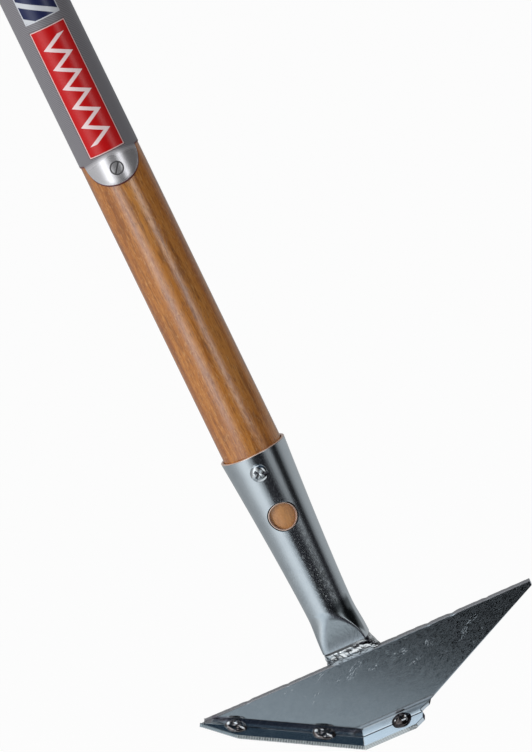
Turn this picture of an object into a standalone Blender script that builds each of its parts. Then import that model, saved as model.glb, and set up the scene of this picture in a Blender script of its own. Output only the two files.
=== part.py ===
"""Paving joint scraper: a round wooden handle in a swaged steel socket, welded to a folded blade.

Metres, +Z up along the handle's axis. The front of the blade faces -Y, its long wing points to +X.
The origin is on the scraping edge of the plain strip, straight below the handle's axis.
The blade has its own directions: ACROSS to the long wing, DOWN its face, OUT of its front face.
"""

import math

import bmesh
import bpy
from mathutils import Matrix, Vector

# Handle
HANDLE_LENGTH = 1.500
HANDLE_DIAMETER = 0.028
HANDLE_DOME = 0.011
HANDLE_SEAT = 0.064
HANDLE_STEPS = 48
HANDLE_DOME_STEPS = 7
HANDLE_SEAT_STEPS = 8

# Socket: a tube swaged to a taper, with its lower end pressed part flat
SOCKET_LENGTH = 0.0985
SOCKET_WALL = 0.0013
SOCKET_CLEARANCE = 0.0003
SOCKET_TAPER = 0.085
SOCKET_TAPER_POWER = 1.35
SOCKET_NECK_DIAMETER = 0.0216
SOCKET_END_WIDTH = 0.0226
SOCKET_END_DEPTH = 0.0152
SOCKET_PRESSED = 0.018
SOCKET_PRESSED_SQUARENESS = 3.2
SOCKET_STEPS = 44
SOCKET_RINGS = 24
SIGHT_HOLE_DIAMETER = 0.0134
SIGHT_HOLE_DOWN = 0.0312
SIGHT_HOLE_TURN = math.radians(7)
SIGHT_HOLE_STEPS = 32
HOLE_CUTTER_REACH = 0.007
FLARE_STEP = 0.001

# Screw through the socket into the wood
SCREW_DOWN = 0.0082
SCREW_TURN = math.radians(3)
SCREW_HEAD_DIAMETER = 0.0080
SCREW_HEAD_HEIGHT = 0.0026
SCREW_RIM_HEIGHT = 0.0009
SCREW_DOME_STEPS = 5
SCREW_SHANK_DIAMETER = 0.0038
SCREW_SHANK_LENGTH = 0.016
SCREW_POINT = 0.0035
SCREW_RECESS_WIDTH = 0.0042
SCREW_RECESS_SLOT = 0.0010
SCREW_RECESS_DEPTH = 0.0016
SCREW_CLEARANCE = 0.0003
SCREW_STEPS = 24

# Blade: a flat plate with a band folded forward along its left and lower edges
BLADE_THICKNESS = 0.003
BLADE_TILT = math.radians(10)
BLADE_DEPTH = 0.0346
LEFT_WING = 0.076
RIGHT_WING = 0.0877
RIGHT_TIP_BLUNT = 0.0026
FOLD_CORNER = -0.0118
FOLD_ANGLE = math.radians(55)
FOLD_RADIUS = 0.002
FOLD_STEPS = 5
FLANGE_HEIGHT = 0.0038
FLANGE_END = 0.0172
FLANGE_END_HEIGHT = 0.0012

# Strips that carry the scraping edges, butted under the flange
STRIP_HEIGHT = 0.0049
STRIP_THICKNESS = 0.0032
STRIP_GAP = 0.0003
MITRE_OVERRUN = 0.0064
MITRE_CUTTER = 0.030
SERRATED_TIP_OVERHANG = 0.0010
SERRATED_CHAMFER_LENGTH = 0.0175
TOOTH_PITCH = 0.0009
TOOTH_DEPTH = 0.00045
PLAIN_END_INSET = 0.0006
PLAIN_CHAMFER = 0.0045
PLAIN_CHAMFER_HEIGHT = 0.0022

# Tack welds on the seam: name, strip, distance from the fold corner, length, width, height
TACK_WELDS = (
    ("tack_weld_tip", "left", 0.0574, 0.0104, 0.0066, 0.0017),
    ("tack_weld_middle", "left", 0.0173, 0.0106, 0.0064, 0.0017),
    ("tack_weld_corner", "lower", 0.0187, 0.0098, 0.0070, 0.0027),
)
TACK_GAP = 0.0003
TACK_STEPS = 20
TACK_RINGS = 12

# Weld between the socket's end and the blade's top edge
WELD_HEIGHT = 0.0075
WELD_FOOT_LENGTH = 0.0270
WELD_FOOT_DEPTH = 0.0040
WELD_GAP = 0.0003
WELD_STEPS = 40
WELD_RINGS = 6

# Label: a thin foil sleeve with a rounded tongue at the front
LABEL_ABOVE_MOUTH = 0.1480
LABEL_TURN = math.radians(10)
LABEL_LENGTH = 0.150
LABEL_TONGUE = 0.0128
LABEL_TONGUE_HALF_ANGLE = math.radians(58.6)
LABEL_THICKNESS = 0.0002
LABEL_GAP = 0.00015

# Points closer than this are one
MERGE_DISTANCE = 0.000001

# The plate's directions
ACROSS = Vector((1, 0, 0))
DOWN = Vector((0, math.sin(BLADE_TILT), -math.cos(BLADE_TILT)))
OUT = Vector((0, -math.cos(BLADE_TILT), -math.sin(BLADE_TILT)))

# The left fold line is set so that the flange's edge ends at the blade's left tip
TIP_TO_CORNER = math.hypot(LEFT_WING + FOLD_CORNER, BLADE_DEPTH)
LEFT_SLOPE = math.atan2(BLADE_DEPTH, LEFT_WING + FOLD_CORNER)
LEFT_SLOPE += math.asin(FLANGE_HEIGHT / TIP_TO_CORNER)

# Each folded side: the way along its fold line from the corner, and the way out of the plate
SIDES = {
    "lower": (Vector((1, 0)), Vector((0, 1))),
    "left": (
        Vector((-math.cos(LEFT_SLOPE), -math.sin(LEFT_SLOPE))),
        Vector((-math.sin(LEFT_SLOPE), math.cos(LEFT_SLOPE))),
    ),
}
MITRE = SIDES["lower"][1] + SIDES["left"][1]
MITRE /= MITRE.dot(SIDES["lower"][1])

STRIP_TOP = FLANGE_HEIGHT + STRIP_GAP
STRIP_FOOT = STRIP_TOP + STRIP_HEIGHT


def in_plate(across, down, out=0.0):
    """A direction or a distance given along the blade's own directions, as a vector."""
    return ACROSS * across + DOWN * down + OUT * out


def flange_directions(side):
    """Along the fold line, down the folded band, and out of its front face."""
    along, outward = SIDES[side]
    down = in_plate(*(outward * math.cos(FOLD_ANGLE)), math.sin(FOLD_ANGLE))
    front = in_plate(*(outward * -math.sin(FOLD_ANGLE)), math.cos(FOLD_ANGLE))
    return in_plate(*along), down, front


# The blade's top edge is placed so that the plain strip's edge is at the origin
_, LOWER_DOWN, LOWER_FRONT = flange_directions("lower")
EDGE_FROM_TOP = DOWN * BLADE_DEPTH + LOWER_DOWN * STRIP_FOOT - LOWER_FRONT * STRIP_THICKNESS / 2
BLADE_TOP = Vector((0, -EDGE_FROM_TOP.y, -EDGE_FROM_TOP.z))

SOCKET_FOOT_Z = BLADE_TOP.z + WELD_HEIGHT
SOCKET_MOUTH_Z = SOCKET_FOOT_Z + SOCKET_LENGTH
SOCKET_MOUTH_DIAMETER = HANDLE_DIAMETER + 2 * (SOCKET_CLEARANCE + SOCKET_WALL)
HANDLE_FOOT_Z = SOCKET_MOUTH_Z - HANDLE_SEAT
HANDLE_TOP_Z = HANDLE_FOOT_Z + HANDLE_LENGTH


def plate_point(across, down, out=0.0):
    """A point on the plate, from the middle of its top edge."""
    return BLADE_TOP + in_plate(across, down, out)


def clear_scene():
    for obj in list(bpy.data.objects):
        bpy.data.objects.remove(obj, do_unlink=True)


def new_collection(name):
    collection = bpy.data.collections.new(name)
    bpy.context.scene.collection.children.link(collection)
    return collection


def new_material(name, colour, roughness, metallic):
    material = bpy.data.materials.new(name)
    material.use_nodes = True
    shader = material.node_tree.nodes["Principled BSDF"]
    shader.inputs["Base Color"].default_value = (*colour, 1)
    shader.inputs["Roughness"].default_value = roughness
    shader.inputs["Metallic"].default_value = metallic
    material.diffuse_color = (*colour, 1)
    return material


def mesh_object(name, points, faces, collection):
    mesh = bpy.data.meshes.new(name)
    mesh.from_pydata([tuple(point) for point in points], [], faces)
    mesh.update()
    obj = bpy.data.objects.new(name, mesh)
    collection.objects.link(obj)
    return obj


def recalculated(obj):
    """Turns the faces of a closed mesh outward."""
    shape = bmesh.new()
    shape.from_mesh(obj.data)
    bmesh.ops.recalc_face_normals(shape, faces=shape.faces)
    shape.to_mesh(obj.data)
    shape.free()
    return obj


def smooth(obj, angle=math.radians(35)):
    obj.data.shade_smooth()
    obj.data.set_sharp_from_angle(angle=angle)


def cut(obj, cutter):
    """Takes the cutter's shape out of the object."""
    boolean = obj.modifiers.new("cut_" + cutter.name, "BOOLEAN")
    boolean.operation = "DIFFERENCE"
    boolean.object = cutter
    cutter.hide_render = True
    cutter.display_type = "WIRE"


def turned(name, profile, steps, collection):
    """A profile of (radius, height) turned round Z; it runs down the outer side, from axis to axis."""
    points = [(radius, 0, height) for radius, height in profile]
    edges = [(i, i + 1) for i in range(len(points) - 1)]
    mesh = bpy.data.meshes.new(name)
    mesh.from_pydata(points, edges, [])
    obj = bpy.data.objects.new(name, mesh)
    collection.objects.link(obj)
    screw = obj.modifiers.new("turn", "SCREW")
    screw.steps = steps
    screw.render_steps = steps
    screw.use_merge_vertices = True
    screw.merge_threshold = MERGE_DISTANCE
    screw.use_smooth_shade = True
    return obj


def cylinder_cutter(name, diameter, length, matrix, collection, steps):
    """A round cutter from the matrix's origin along its +Z."""
    shape = bmesh.new()
    bmesh.ops.create_cone(
        shape,
        cap_ends=True,
        segments=steps,
        radius1=diameter / 2,
        radius2=diameter / 2,
        depth=length,
        matrix=Matrix.Translation((0, 0, length / 2)),
    )
    mesh = bpy.data.meshes.new(name)
    shape.to_mesh(mesh)
    shape.free()
    obj = bpy.data.objects.new(name, mesh)
    obj.matrix_world = matrix
    collection.objects.link(obj)
    return obj


def box_cutter(name, size, matrix, collection):
    """A box cutter centred on the matrix's origin."""
    shape = bmesh.new()
    bmesh.ops.create_cube(shape, size=1, matrix=Matrix.Diagonal((*size, 1)))
    mesh = bpy.data.meshes.new(name)
    shape.to_mesh(mesh)
    shape.free()
    obj = bpy.data.objects.new(name, mesh)
    obj.matrix_world = matrix
    collection.objects.link(obj)
    return obj


def frame_matrix(x_way, y_way, z_way, origin):
    matrix = Matrix((x_way, y_way, z_way)).transposed().to_4x4()
    matrix.translation = origin
    return matrix


def socket_radius(down):
    """The tube's outer radius this far below its mouth, before the end is pressed."""
    left = max(0.0, 1 - down / SOCKET_TAPER)
    spread = (SOCKET_MOUTH_DIAMETER - SOCKET_NECK_DIAMETER) / 2
    return SOCKET_NECK_DIAMETER / 2 + spread * left**SOCKET_TAPER_POWER


def socket_section(down, inset=0.0):
    """Half width, half depth and squareness of the tube's outline this far below its mouth."""
    radius = socket_radius(down)
    pressed = max(0.0, 1 - (SOCKET_LENGTH - down) / SOCKET_PRESSED)
    ease = pressed * pressed * (3 - 2 * pressed)
    width = radius + (SOCKET_END_WIDTH / 2 - radius) * ease
    depth = radius + (SOCKET_END_DEPTH / 2 - radius) * ease
    squareness = 2 + (SOCKET_PRESSED_SQUARENESS - 2) * ease
    return width - inset, depth - inset, squareness


def squared_ring(width, depth, squareness, steps):
    """Points of a superellipse: a circle at squareness 2, nearer a rectangle above it."""
    points = []
    for step in range(steps):
        turn = 2 * math.pi * step / steps
        c, s = math.cos(turn), math.sin(turn)
        x = math.copysign(abs(c) ** (2 / squareness), c)
        y = math.copysign(abs(s) ** (2 / squareness), s)
        points.append((width * x, depth * y))
    return points


def ring_faces(rings, steps):
    """Quads between rings of points, each ring with this many points."""
    faces = []
    for ring in range(rings - 1):
        for step in range(steps):
            a = ring * steps + step
            b = ring * steps + (step + 1) % steps
            faces.append((a, b, b + steps, a + steps))
    return faces


def wall_matrix(turn, down, lift):
    """On the socket's front, turned toward +X: +Z is square to the tapered wall and lifted off it."""
    spread = socket_radius(down - FLARE_STEP) - socket_radius(down + FLARE_STEP)
    radial = Vector((math.sin(turn), -math.cos(turn), 0))
    outward = (radial - Vector((0, 0, spread / (2 * FLARE_STEP)))).normalized()
    side = Vector((math.cos(turn), math.sin(turn), 0))
    origin = radial * socket_radius(down) + Vector((0, 0, SOCKET_MOUTH_Z - down))
    return frame_matrix(side, outward.cross(side), outward, origin + outward * lift)


def make_socket(parts, cutters, material):
    points = []
    for ring in range(SOCKET_RINGS + 1):
        down = SOCKET_LENGTH * ring / SOCKET_RINGS
        height = SOCKET_MOUTH_Z - down
        for x, y in squared_ring(*socket_section(down), SOCKET_STEPS):
            points.append((x, y, height))
    faces = [face[::-1] for face in ring_faces(SOCKET_RINGS + 1, SOCKET_STEPS)]
    socket = mesh_object("socket", points, faces, parts)
    wall = socket.modifiers.new("wall", "SOLIDIFY")
    wall.thickness = SOCKET_WALL
    wall.offset = -1
    wall.use_even_offset = True
    hole = cylinder_cutter(
        "sight_hole_cutter",
        SIGHT_HOLE_DIAMETER,
        2 * HOLE_CUTTER_REACH,
        wall_matrix(SIGHT_HOLE_TURN, SIGHT_HOLE_DOWN, -HOLE_CUTTER_REACH),
        cutters,
        SIGHT_HOLE_STEPS,
    )
    cut(socket, hole)
    screw_hole = cylinder_cutter(
        "screw_hole_cutter",
        SCREW_SHANK_DIAMETER + 2 * SCREW_CLEARANCE,
        2 * HOLE_CUTTER_REACH,
        wall_matrix(SCREW_TURN, SCREW_DOWN, -HOLE_CUTTER_REACH),
        cutters,
        SCREW_STEPS,
    )
    cut(socket, screw_hole)
    smooth(socket)
    socket.data.materials.append(material)
    return socket


def handle_profile():
    """The wood's radius and height, from the domed top down to the blunt seated end."""
    radius = HANDLE_DIAMETER / 2
    profile = []
    for step in range(HANDLE_DOME_STEPS + 1):
        turn = math.pi / 2 * step / HANDLE_DOME_STEPS
        height = HANDLE_TOP_Z - HANDLE_DOME * (1 - math.cos(turn))
        profile.append((radius * math.sin(turn), height))
    profile.append((radius, SOCKET_MOUTH_Z))
    for step in range(1, HANDLE_SEAT_STEPS + 1):
        down = HANDLE_SEAT * step / HANDLE_SEAT_STEPS
        room = min(socket_section(down, SOCKET_WALL + SOCKET_CLEARANCE)[:2])
        profile.append((min(radius, room), SOCKET_MOUTH_Z - down))
    profile.append((0, HANDLE_FOOT_Z))
    return profile


def make_handle(parts, cutters, material):
    handle = turned("handle", handle_profile(), HANDLE_STEPS, parts)
    pilot = cylinder_cutter(
        "pilot_hole_cutter",
        SCREW_SHANK_DIAMETER + 2 * SCREW_CLEARANCE,
        SCREW_SHANK_LENGTH + HOLE_CUTTER_REACH,
        wall_matrix(SCREW_TURN, SCREW_DOWN, -SCREW_SHANK_LENGTH),
        cutters,
        SCREW_STEPS,
    )
    cut(handle, pilot)
    handle.data.materials.append(material)
    return handle


def make_screw(parts, cutters, material):
    """A pan head over a plain shank with a point, and a cross recess; +Z out of the head."""
    head = SCREW_HEAD_DIAMETER / 2
    shank = SCREW_SHANK_DIAMETER / 2
    dome = SCREW_HEAD_HEIGHT - SCREW_RIM_HEIGHT
    profile = []
    for step in range(SCREW_DOME_STEPS + 1):
        turn = math.pi / 2 * step / SCREW_DOME_STEPS
        profile.append((head * math.sin(turn), SCREW_RIM_HEIGHT + dome * math.cos(turn)))
    profile += [(head, 0), (shank, 0)]
    profile += [(shank, SCREW_POINT - SCREW_SHANK_LENGTH), (0, -SCREW_SHANK_LENGTH)]
    screw = turned("socket_screw", profile, SCREW_STEPS, parts)
    place = wall_matrix(SCREW_TURN, SCREW_DOWN, SCREW_CLEARANCE)
    screw.matrix_world = place
    top = place @ Matrix.Translation((0, 0, SCREW_HEAD_HEIGHT))
    for name, turn in (("recess_cutter_a", 45), ("recess_cutter_b", 135)):
        size = (SCREW_RECESS_WIDTH, SCREW_RECESS_SLOT, 2 * SCREW_RECESS_DEPTH)
        spin = Matrix.Rotation(math.radians(turn), 4, "Z")
        cut(screw, box_cutter(name, size, top @ spin, cutters))
    screw.data.materials.append(material)
    return screw


def fold_offset(distance):
    """Outward and forward travel of the plate's front face, this far past the fold line."""
    reach = FOLD_RADIUS * math.tan(FOLD_ANGLE / 2)
    if distance <= -reach:
        return distance, 0.0
    if distance >= reach:
        return distance * math.cos(FOLD_ANGLE), distance * math.sin(FOLD_ANGLE)
    turn = FOLD_ANGLE * (distance + reach) / (2 * reach)
    return -reach + FOLD_RADIUS * math.sin(turn), FOLD_RADIUS * (1 - math.cos(turn))


def wing_edge(down):
    """How far across the flat blank's lower right edge lies, this far below its top edge."""
    foot = BLADE_DEPTH + FLANGE_HEIGHT - FLANGE_END_HEIGHT
    share = (down - RIGHT_TIP_BLUNT) / (foot - RIGHT_TIP_BLUNT)
    return RIGHT_WING + (FLANGE_END - RIGHT_WING) * share


def fold_row(distance):
    """Left end, mitre corner and right end of the line this far past the fold line."""
    corner = Vector((FOLD_CORNER, BLADE_DEPTH))
    outward, forward = fold_offset(distance)
    along, out_left = SIDES["left"]
    reach = (BLADE_DEPTH + out_left.y * distance) / -along.y
    left = corner + along * reach + out_left * outward
    middle = corner + MITRE * outward
    down = min(BLADE_DEPTH + distance, BLADE_DEPTH + FLANGE_HEIGHT - FLANGE_END_HEIGHT)
    right = Vector((wing_edge(down), BLADE_DEPTH + outward))
    return [plate_point(*point, forward) for point in (left, middle, right)]


def make_blade(parts, material):
    """The front face as one open sheet: the flat plate, the bend in steps, the flange."""
    reach = FOLD_RADIUS * math.tan(FOLD_ANGLE / 2)
    distances = [reach * (2 * step / FOLD_STEPS - 1) for step in range(FOLD_STEPS + 1)]
    distances += [FLANGE_HEIGHT - FLANGE_END_HEIGHT, FLANGE_HEIGHT]
    points = []
    for distance in distances:
        points += fold_row(distance)
    faces = []
    for row in range(len(distances) - 1):
        for column in range(2):
            a = 3 * row + column
            faces.append((a, a + 3, a + 4, a + 1))
    tip_low, tip_high = len(points), len(points) + 1
    points.append(plate_point(RIGHT_WING, RIGHT_TIP_BLUNT))
    points.append(plate_point(RIGHT_WING, 0))
    faces.append((0, 1, 2, tip_low, tip_high))
    blade = mesh_object("blade_plate", points, faces, parts)
    wall = blade.modifiers.new("thickness", "SOLIDIFY")
    wall.thickness = BLADE_THICKNESS
    wall.offset = -1
    wall.use_even_offset = True
    blade.data.materials.append(material)
    return blade


def toothed(start, end, pitch, depth, inward):
    """Points along a line with even V teeth cut into it, without its last point."""
    run = end - start
    count = max(1, round(run.length / pitch))
    points = []
    for tooth in range(count):
        points.append(start + run * tooth / count)
        points.append(start + run * (tooth + 0.5) / count + inward * depth)
    return points


def strip_matrix(side):
    """Local X along the fold line, local Y down the band, at the middle of the strip's thickness."""
    along, down, front = flange_directions(side)
    corner = plate_point(FOLD_CORNER, BLADE_DEPTH) - front * STRIP_THICKNESS / 2
    return frame_matrix(along, down, along.cross(down), corner)


def flat_strip(name, outline, side, parts):
    """A flat bar from its outline, as a curve made a mesh with its caps welded."""
    curve = bpy.data.curves.new(name, "CURVE")
    curve.dimensions = "2D"
    curve.fill_mode = "BOTH"
    curve.extrude = STRIP_THICKNESS / 2
    spline = curve.splines.new("POLY")
    spline.points.add(len(outline) - 1)
    for point, place in zip(spline.points, outline):
        point.co = (place.x, place.y, 0, 1)
    spline.use_cyclic_u = True
    drawn = bpy.data.objects.new(name + "_outline", curve)
    bpy.context.scene.collection.objects.link(drawn)
    depsgraph = bpy.context.evaluated_depsgraph_get()
    mesh = bpy.data.meshes.new_from_object(drawn.evaluated_get(depsgraph))
    bpy.data.objects.remove(drawn, do_unlink=True)
    shape = bmesh.new()
    shape.from_mesh(mesh)
    bmesh.ops.remove_doubles(shape, verts=shape.verts, dist=MERGE_DISTANCE)
    bmesh.ops.recalc_face_normals(shape, faces=shape.faces)
    shape.to_mesh(mesh)
    shape.free()
    mesh.name = name
    obj = bpy.data.objects.new(name, mesh)
    obj.matrix_world = strip_matrix(side)
    parts.objects.link(obj)
    return obj


def mitre_cut(strip, side, cutters):
    """Cuts the strip's inner end on the plane that halves the corner, less half the gap."""
    halving = in_plate(*MITRE.normalized())
    along = flange_directions(side)[0]
    away = halving.cross(OUT)
    away = away if away.dot(along) < 0 else -away
    centre = plate_point(FOLD_CORNER, BLADE_DEPTH) + away * (MITRE_CUTTER / 2 - STRIP_GAP / 2)
    place = frame_matrix(away, OUT.cross(away), OUT, centre)
    size = (MITRE_CUTTER, MITRE_CUTTER, MITRE_CUTTER)
    cut(strip, box_cutter(strip.name + "_mitre_cutter", size, place, cutters))


def make_serrated_strip(parts, cutters, material):
    """The left strip: toothed along its foot and up its chamfer to a point past the blade's tip."""
    along, out_left = SIDES["left"]
    tip = (BLADE_DEPTH + out_left.y * FLANGE_HEIGHT) / -along.y + SERRATED_TIP_OVERHANG
    heel = tip - SERRATED_CHAMFER_LENGTH
    start = -MITRE_OVERRUN
    chamfer = Vector((tip, STRIP_TOP)) - Vector((heel, STRIP_FOOT))
    inward = Vector((chamfer.y, -chamfer.x)).normalized()
    inward = inward if inward.y < 0 else -inward
    outline = [Vector((start, STRIP_TOP))]
    foot = (Vector((start, STRIP_FOOT)), Vector((heel, STRIP_FOOT)))
    outline += toothed(*foot, TOOTH_PITCH, TOOTH_DEPTH, Vector((0, -1)))
    blunt = Vector((tip, STRIP_TOP + TOOTH_DEPTH))
    outline += toothed(foot[1], blunt, TOOTH_PITCH, TOOTH_DEPTH, inward)
    outline += [blunt, Vector((tip, STRIP_TOP))]
    strip = flat_strip("serrated_strip", outline, "left", parts)
    mitre_cut(strip, "left", cutters)
    strip.data.materials.append(material)
    return strip


def make_plain_strip(parts, cutters, material):
    """The lower strip: a straight scraping edge with its outer corner cut off."""
    end = FLANGE_END - FOLD_CORNER
    start = -MITRE_OVERRUN
    outline = [
        Vector((start, STRIP_TOP)),
        Vector((start, STRIP_FOOT)),
        Vector((end - PLAIN_END_INSET - PLAIN_CHAMFER, STRIP_FOOT)),
        Vector((end - PLAIN_END_INSET, STRIP_FOOT - PLAIN_CHAMFER_HEIGHT)),
        Vector((end, STRIP_TOP)),
    ]
    strip = flat_strip("plain_strip", outline, "lower", parts)
    mitre_cut(strip, "lower", cutters)
    strip.data.materials.append(material)
    return strip


def make_tack_weld(name, side, distance, length, width, height, parts, material):
    """A low dome over the seam, its flat foot clear of the flange and the strip."""
    shape = bmesh.new()
    bmesh.ops.create_uvsphere(shape, u_segments=TACK_STEPS, v_segments=TACK_RINGS, radius=1)
    bmesh.ops.scale(shape, verts=shape.verts, vec=(length / 2, width / 2, height))
    bmesh.ops.bisect_plane(
        shape,
        geom=shape.verts[:] + shape.edges[:] + shape.faces[:],
        dist=MERGE_DISTANCE,
        plane_co=(0, 0, 0),
        plane_no=(0, 0, 1),
        clear_inner=True,
    )
    rim = [edge for edge in shape.edges if edge.is_boundary]
    bmesh.ops.contextual_create(shape, geom=rim)
    bmesh.ops.recalc_face_normals(shape, faces=shape.faces)
    mesh = bpy.data.meshes.new(name)
    shape.to_mesh(mesh)
    shape.free()
    bead = bpy.data.objects.new(name, mesh)
    along, down, front = flange_directions(side)
    seam = FLANGE_HEIGHT + STRIP_GAP / 2
    corner = plate_point(FOLD_CORNER, BLADE_DEPTH)
    place = corner + along * distance + down * seam + front * TACK_GAP
    bead.matrix_world = frame_matrix(along, front.cross(along), front, place)
    parts.objects.link(bead)
    smooth(bead)
    bead.data.materials.append(material)
    return bead


def make_socket_weld(parts, material):
    """A collar from the socket's pressed end down to a narrow foot on the blade's top edge."""
    end_width, end_depth, squareness = socket_section(SOCKET_LENGTH)
    blade_middle = BLADE_TOP.y + BLADE_THICKNESS / 2 * math.cos(BLADE_TILT)
    points = []
    for ring in range(WELD_RINGS + 1):
        share = ring / WELD_RINGS
        sweep = share * share
        width = end_width + (WELD_FOOT_LENGTH / 2 - end_width) * sweep
        depth = end_depth + (WELD_FOOT_DEPTH / 2 - end_depth) * (share + sweep) / 2
        shift = blade_middle * share
        for x, y in squared_ring(width, depth, squareness, WELD_STEPS):
            y += shift
            foot = BLADE_TOP.z + (y - BLADE_TOP.y) * math.tan(BLADE_TILT) + WELD_GAP
            head = SOCKET_FOOT_Z - WELD_GAP
            points.append((x, y, head + (foot - head) * share))
    faces = [face[::-1] for face in ring_faces(WELD_RINGS + 1, WELD_STEPS)]
    last = WELD_RINGS * WELD_STEPS
    faces.append(tuple(range(WELD_STEPS)))
    faces.append(tuple(last + step for step in reversed(range(WELD_STEPS))))
    weld = recalculated(mesh_object("socket_weld", points, faces, parts))
    smooth(weld)
    weld.data.materials.append(material)
    return weld


def make_label(parts, material):
    """A foil sleeve round the handle; its lower edge drops to a rounded tongue near the front."""
    radius = HANDLE_DIAMETER / 2 + LABEL_GAP
    low = SOCKET_MOUTH_Z + LABEL_ABOVE_MOUTH
    points = []
    for height in (low + LABEL_LENGTH, low):
        for step in range(HANDLE_STEPS):
            turn = 2 * math.pi * step / HANDLE_STEPS
            from_front = math.remainder(turn + math.pi / 2 - LABEL_TURN, 2 * math.pi)
            share = min(1.0, abs(from_front) / LABEL_TONGUE_HALF_ANGLE)
            drop = LABEL_TONGUE * math.sqrt(1 - share * share) if height == low else 0
            points.append((radius * math.cos(turn), radius * math.sin(turn), height - drop))
    faces = [face[::-1] for face in ring_faces(2, HANDLE_STEPS)]
    label = mesh_object("label_wrap", points, faces, parts)
    foil = label.modifiers.new("foil", "SOLIDIFY")
    foil.thickness = LABEL_THICKNESS
    foil.offset = 1
    foil.use_even_offset = True
    smooth(label)
    label.data.materials.append(material)
    return label


def main():
    clear_scene()
    parts = new_collection("paving_joint_scraper")
    cutters = new_collection("cutters")
    make_handle(parts, cutters, new_material("lacquered_wood", (0.45, 0.24, 0.11), 0.35, 0))
    make_label(parts, new_material("label_foil", (0.42, 0.43, 0.45), 0.3, 0.6))
    make_socket(parts, cutters, new_material("bright_zinc", (0.62, 0.66, 0.70), 0.2, 1))
    make_screw(parts, cutters, new_material("zinc_screw", (0.66, 0.68, 0.68), 0.25, 1))
    make_socket_weld(parts, new_material("weld_metal", (0.55, 0.57, 0.58), 0.3, 1))
    make_blade(parts, new_material("blade_zinc", (0.28, 0.32, 0.36), 0.35, 1))
    make_serrated_strip(parts, cutters, new_material("serrated_steel", (0.40, 0.43, 0.46), 0.35, 1))
    make_plain_strip(parts, cutters, new_material("plain_steel", (0.42, 0.47, 0.52), 0.35, 1))
    tack_metal = new_material("tack_metal", (0.30, 0.31, 0.32), 0.3, 1)
    for name, side, distance, length, width, height in TACK_WELDS:
        make_tack_weld(name, side, distance, length, width, height, parts, tack_metal)


main()
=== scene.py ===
"""Looks of a long handled paving joint scraper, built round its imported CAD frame.

Metres, +Z up along the handle, -Y the front. Every visible surface is worked out with numpy
as whole arrays. The plate has its own directions: across to the long wing, down its face,
and out of its front face. Lengths are repeated from the model, heights come from its boxes.
"""

import math

import bmesh
import bpy
import numpy as np
from mathutils import Matrix, Vector


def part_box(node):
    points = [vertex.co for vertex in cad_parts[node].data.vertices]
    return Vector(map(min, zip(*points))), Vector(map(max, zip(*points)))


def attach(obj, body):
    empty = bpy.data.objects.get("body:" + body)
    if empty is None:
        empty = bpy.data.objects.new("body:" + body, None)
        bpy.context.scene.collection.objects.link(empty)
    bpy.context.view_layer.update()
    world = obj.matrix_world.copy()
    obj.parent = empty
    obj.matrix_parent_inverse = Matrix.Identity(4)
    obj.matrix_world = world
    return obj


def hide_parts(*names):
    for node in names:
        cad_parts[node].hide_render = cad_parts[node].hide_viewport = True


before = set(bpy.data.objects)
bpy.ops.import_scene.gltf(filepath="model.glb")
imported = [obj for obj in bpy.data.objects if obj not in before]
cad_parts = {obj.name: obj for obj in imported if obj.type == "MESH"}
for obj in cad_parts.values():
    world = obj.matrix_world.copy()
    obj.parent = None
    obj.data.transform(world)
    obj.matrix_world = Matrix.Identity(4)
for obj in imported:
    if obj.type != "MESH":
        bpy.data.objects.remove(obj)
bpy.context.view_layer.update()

# Handle and socket
HANDLE_RADIUS = 0.014
HANDLE_DOME = 0.011
WALL = 0.0013
CLEARANCE = 0.0003
TAPER = 0.085
TAPER_POWER = 1.35
NECK_RADIUS = 0.0108
END_HALF_WIDTH = 0.0113
END_HALF_DEPTH = 0.0076
PRESSED = 0.018
FLATS_OUTSIDE = 0.0005
SOFT_RIGHT = 0.0006
SOFT_LEFT = 0.0032
SIGHT_HOLE_RADIUS = 0.0067
SIGHT_HOLE_DOWN = 0.0312
SIGHT_HOLE_TURN = math.radians(7)

# Screw
SCREW_DOWN = 0.0082
SCREW_TURN = math.radians(3)
SCREW_HEAD_RADIUS = 0.0040
SCREW_HEAD_HEIGHT = 0.0026
SCREW_RIM_HEIGHT = 0.0009
SCREW_SHANK_RADIUS = 0.0019
SCREW_SHANK_LENGTH = 0.016
SCREW_POINT = 0.0035
SCREW_RIM_CUT = 0.0003
RECESS_HALF_WIDTH = 0.0022
RECESS_HALF_SLOT = 0.00062
RECESS_DEPTH = 0.0013
RECESS_WALL = 0.0003
RECESS_TURN = math.radians(38)

# Blade
BLADE_THICKNESS = 0.003
BLADE_TILT = math.radians(10)
BLADE_DEPTH = 0.0346
RIGHT_WING = 0.0877
RIGHT_TIP_BLUNT = 0.0026
FOLD_CORNER = -0.0118
FOLD_ANGLE = math.radians(55)
FOLD_RADIUS = 0.0008
FOLD_REACH = FOLD_RADIUS * math.tan(FOLD_ANGLE / 2)
FLANGE_HEIGHT = 0.0038
FLANGE_END = 0.0172
FLANGE_END_HEIGHT = 0.0012
FLANGE_END_TRIM = 0.0012
LEFT_SLOPE = math.radians(31.3088)
LEFT_TIP = -0.0749
LEFT_BEND_START = -0.0600

# Strips
STRIP_TOP = 0.0041
STRIP_FOOT = 0.0090
STRIP_THICKNESS = 0.0032
STRIP_GAP = 0.0003
TIP_OVERHANG = 0.00095
TIP_CHAMFER = 0.0175
TOOTH_PITCH = 0.0009
TOOTH_DEPTH = 0.00045
END_INSET = 0.0006
END_CHAMFER = 0.0045
END_CHAMFER_HEIGHT = 0.0022
SERRATED_RAISED = 0.0002
SEAM_DOWN = FLANGE_HEIGHT + STRIP_GAP / 2
MITRE_LEAN = 0.2802

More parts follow.
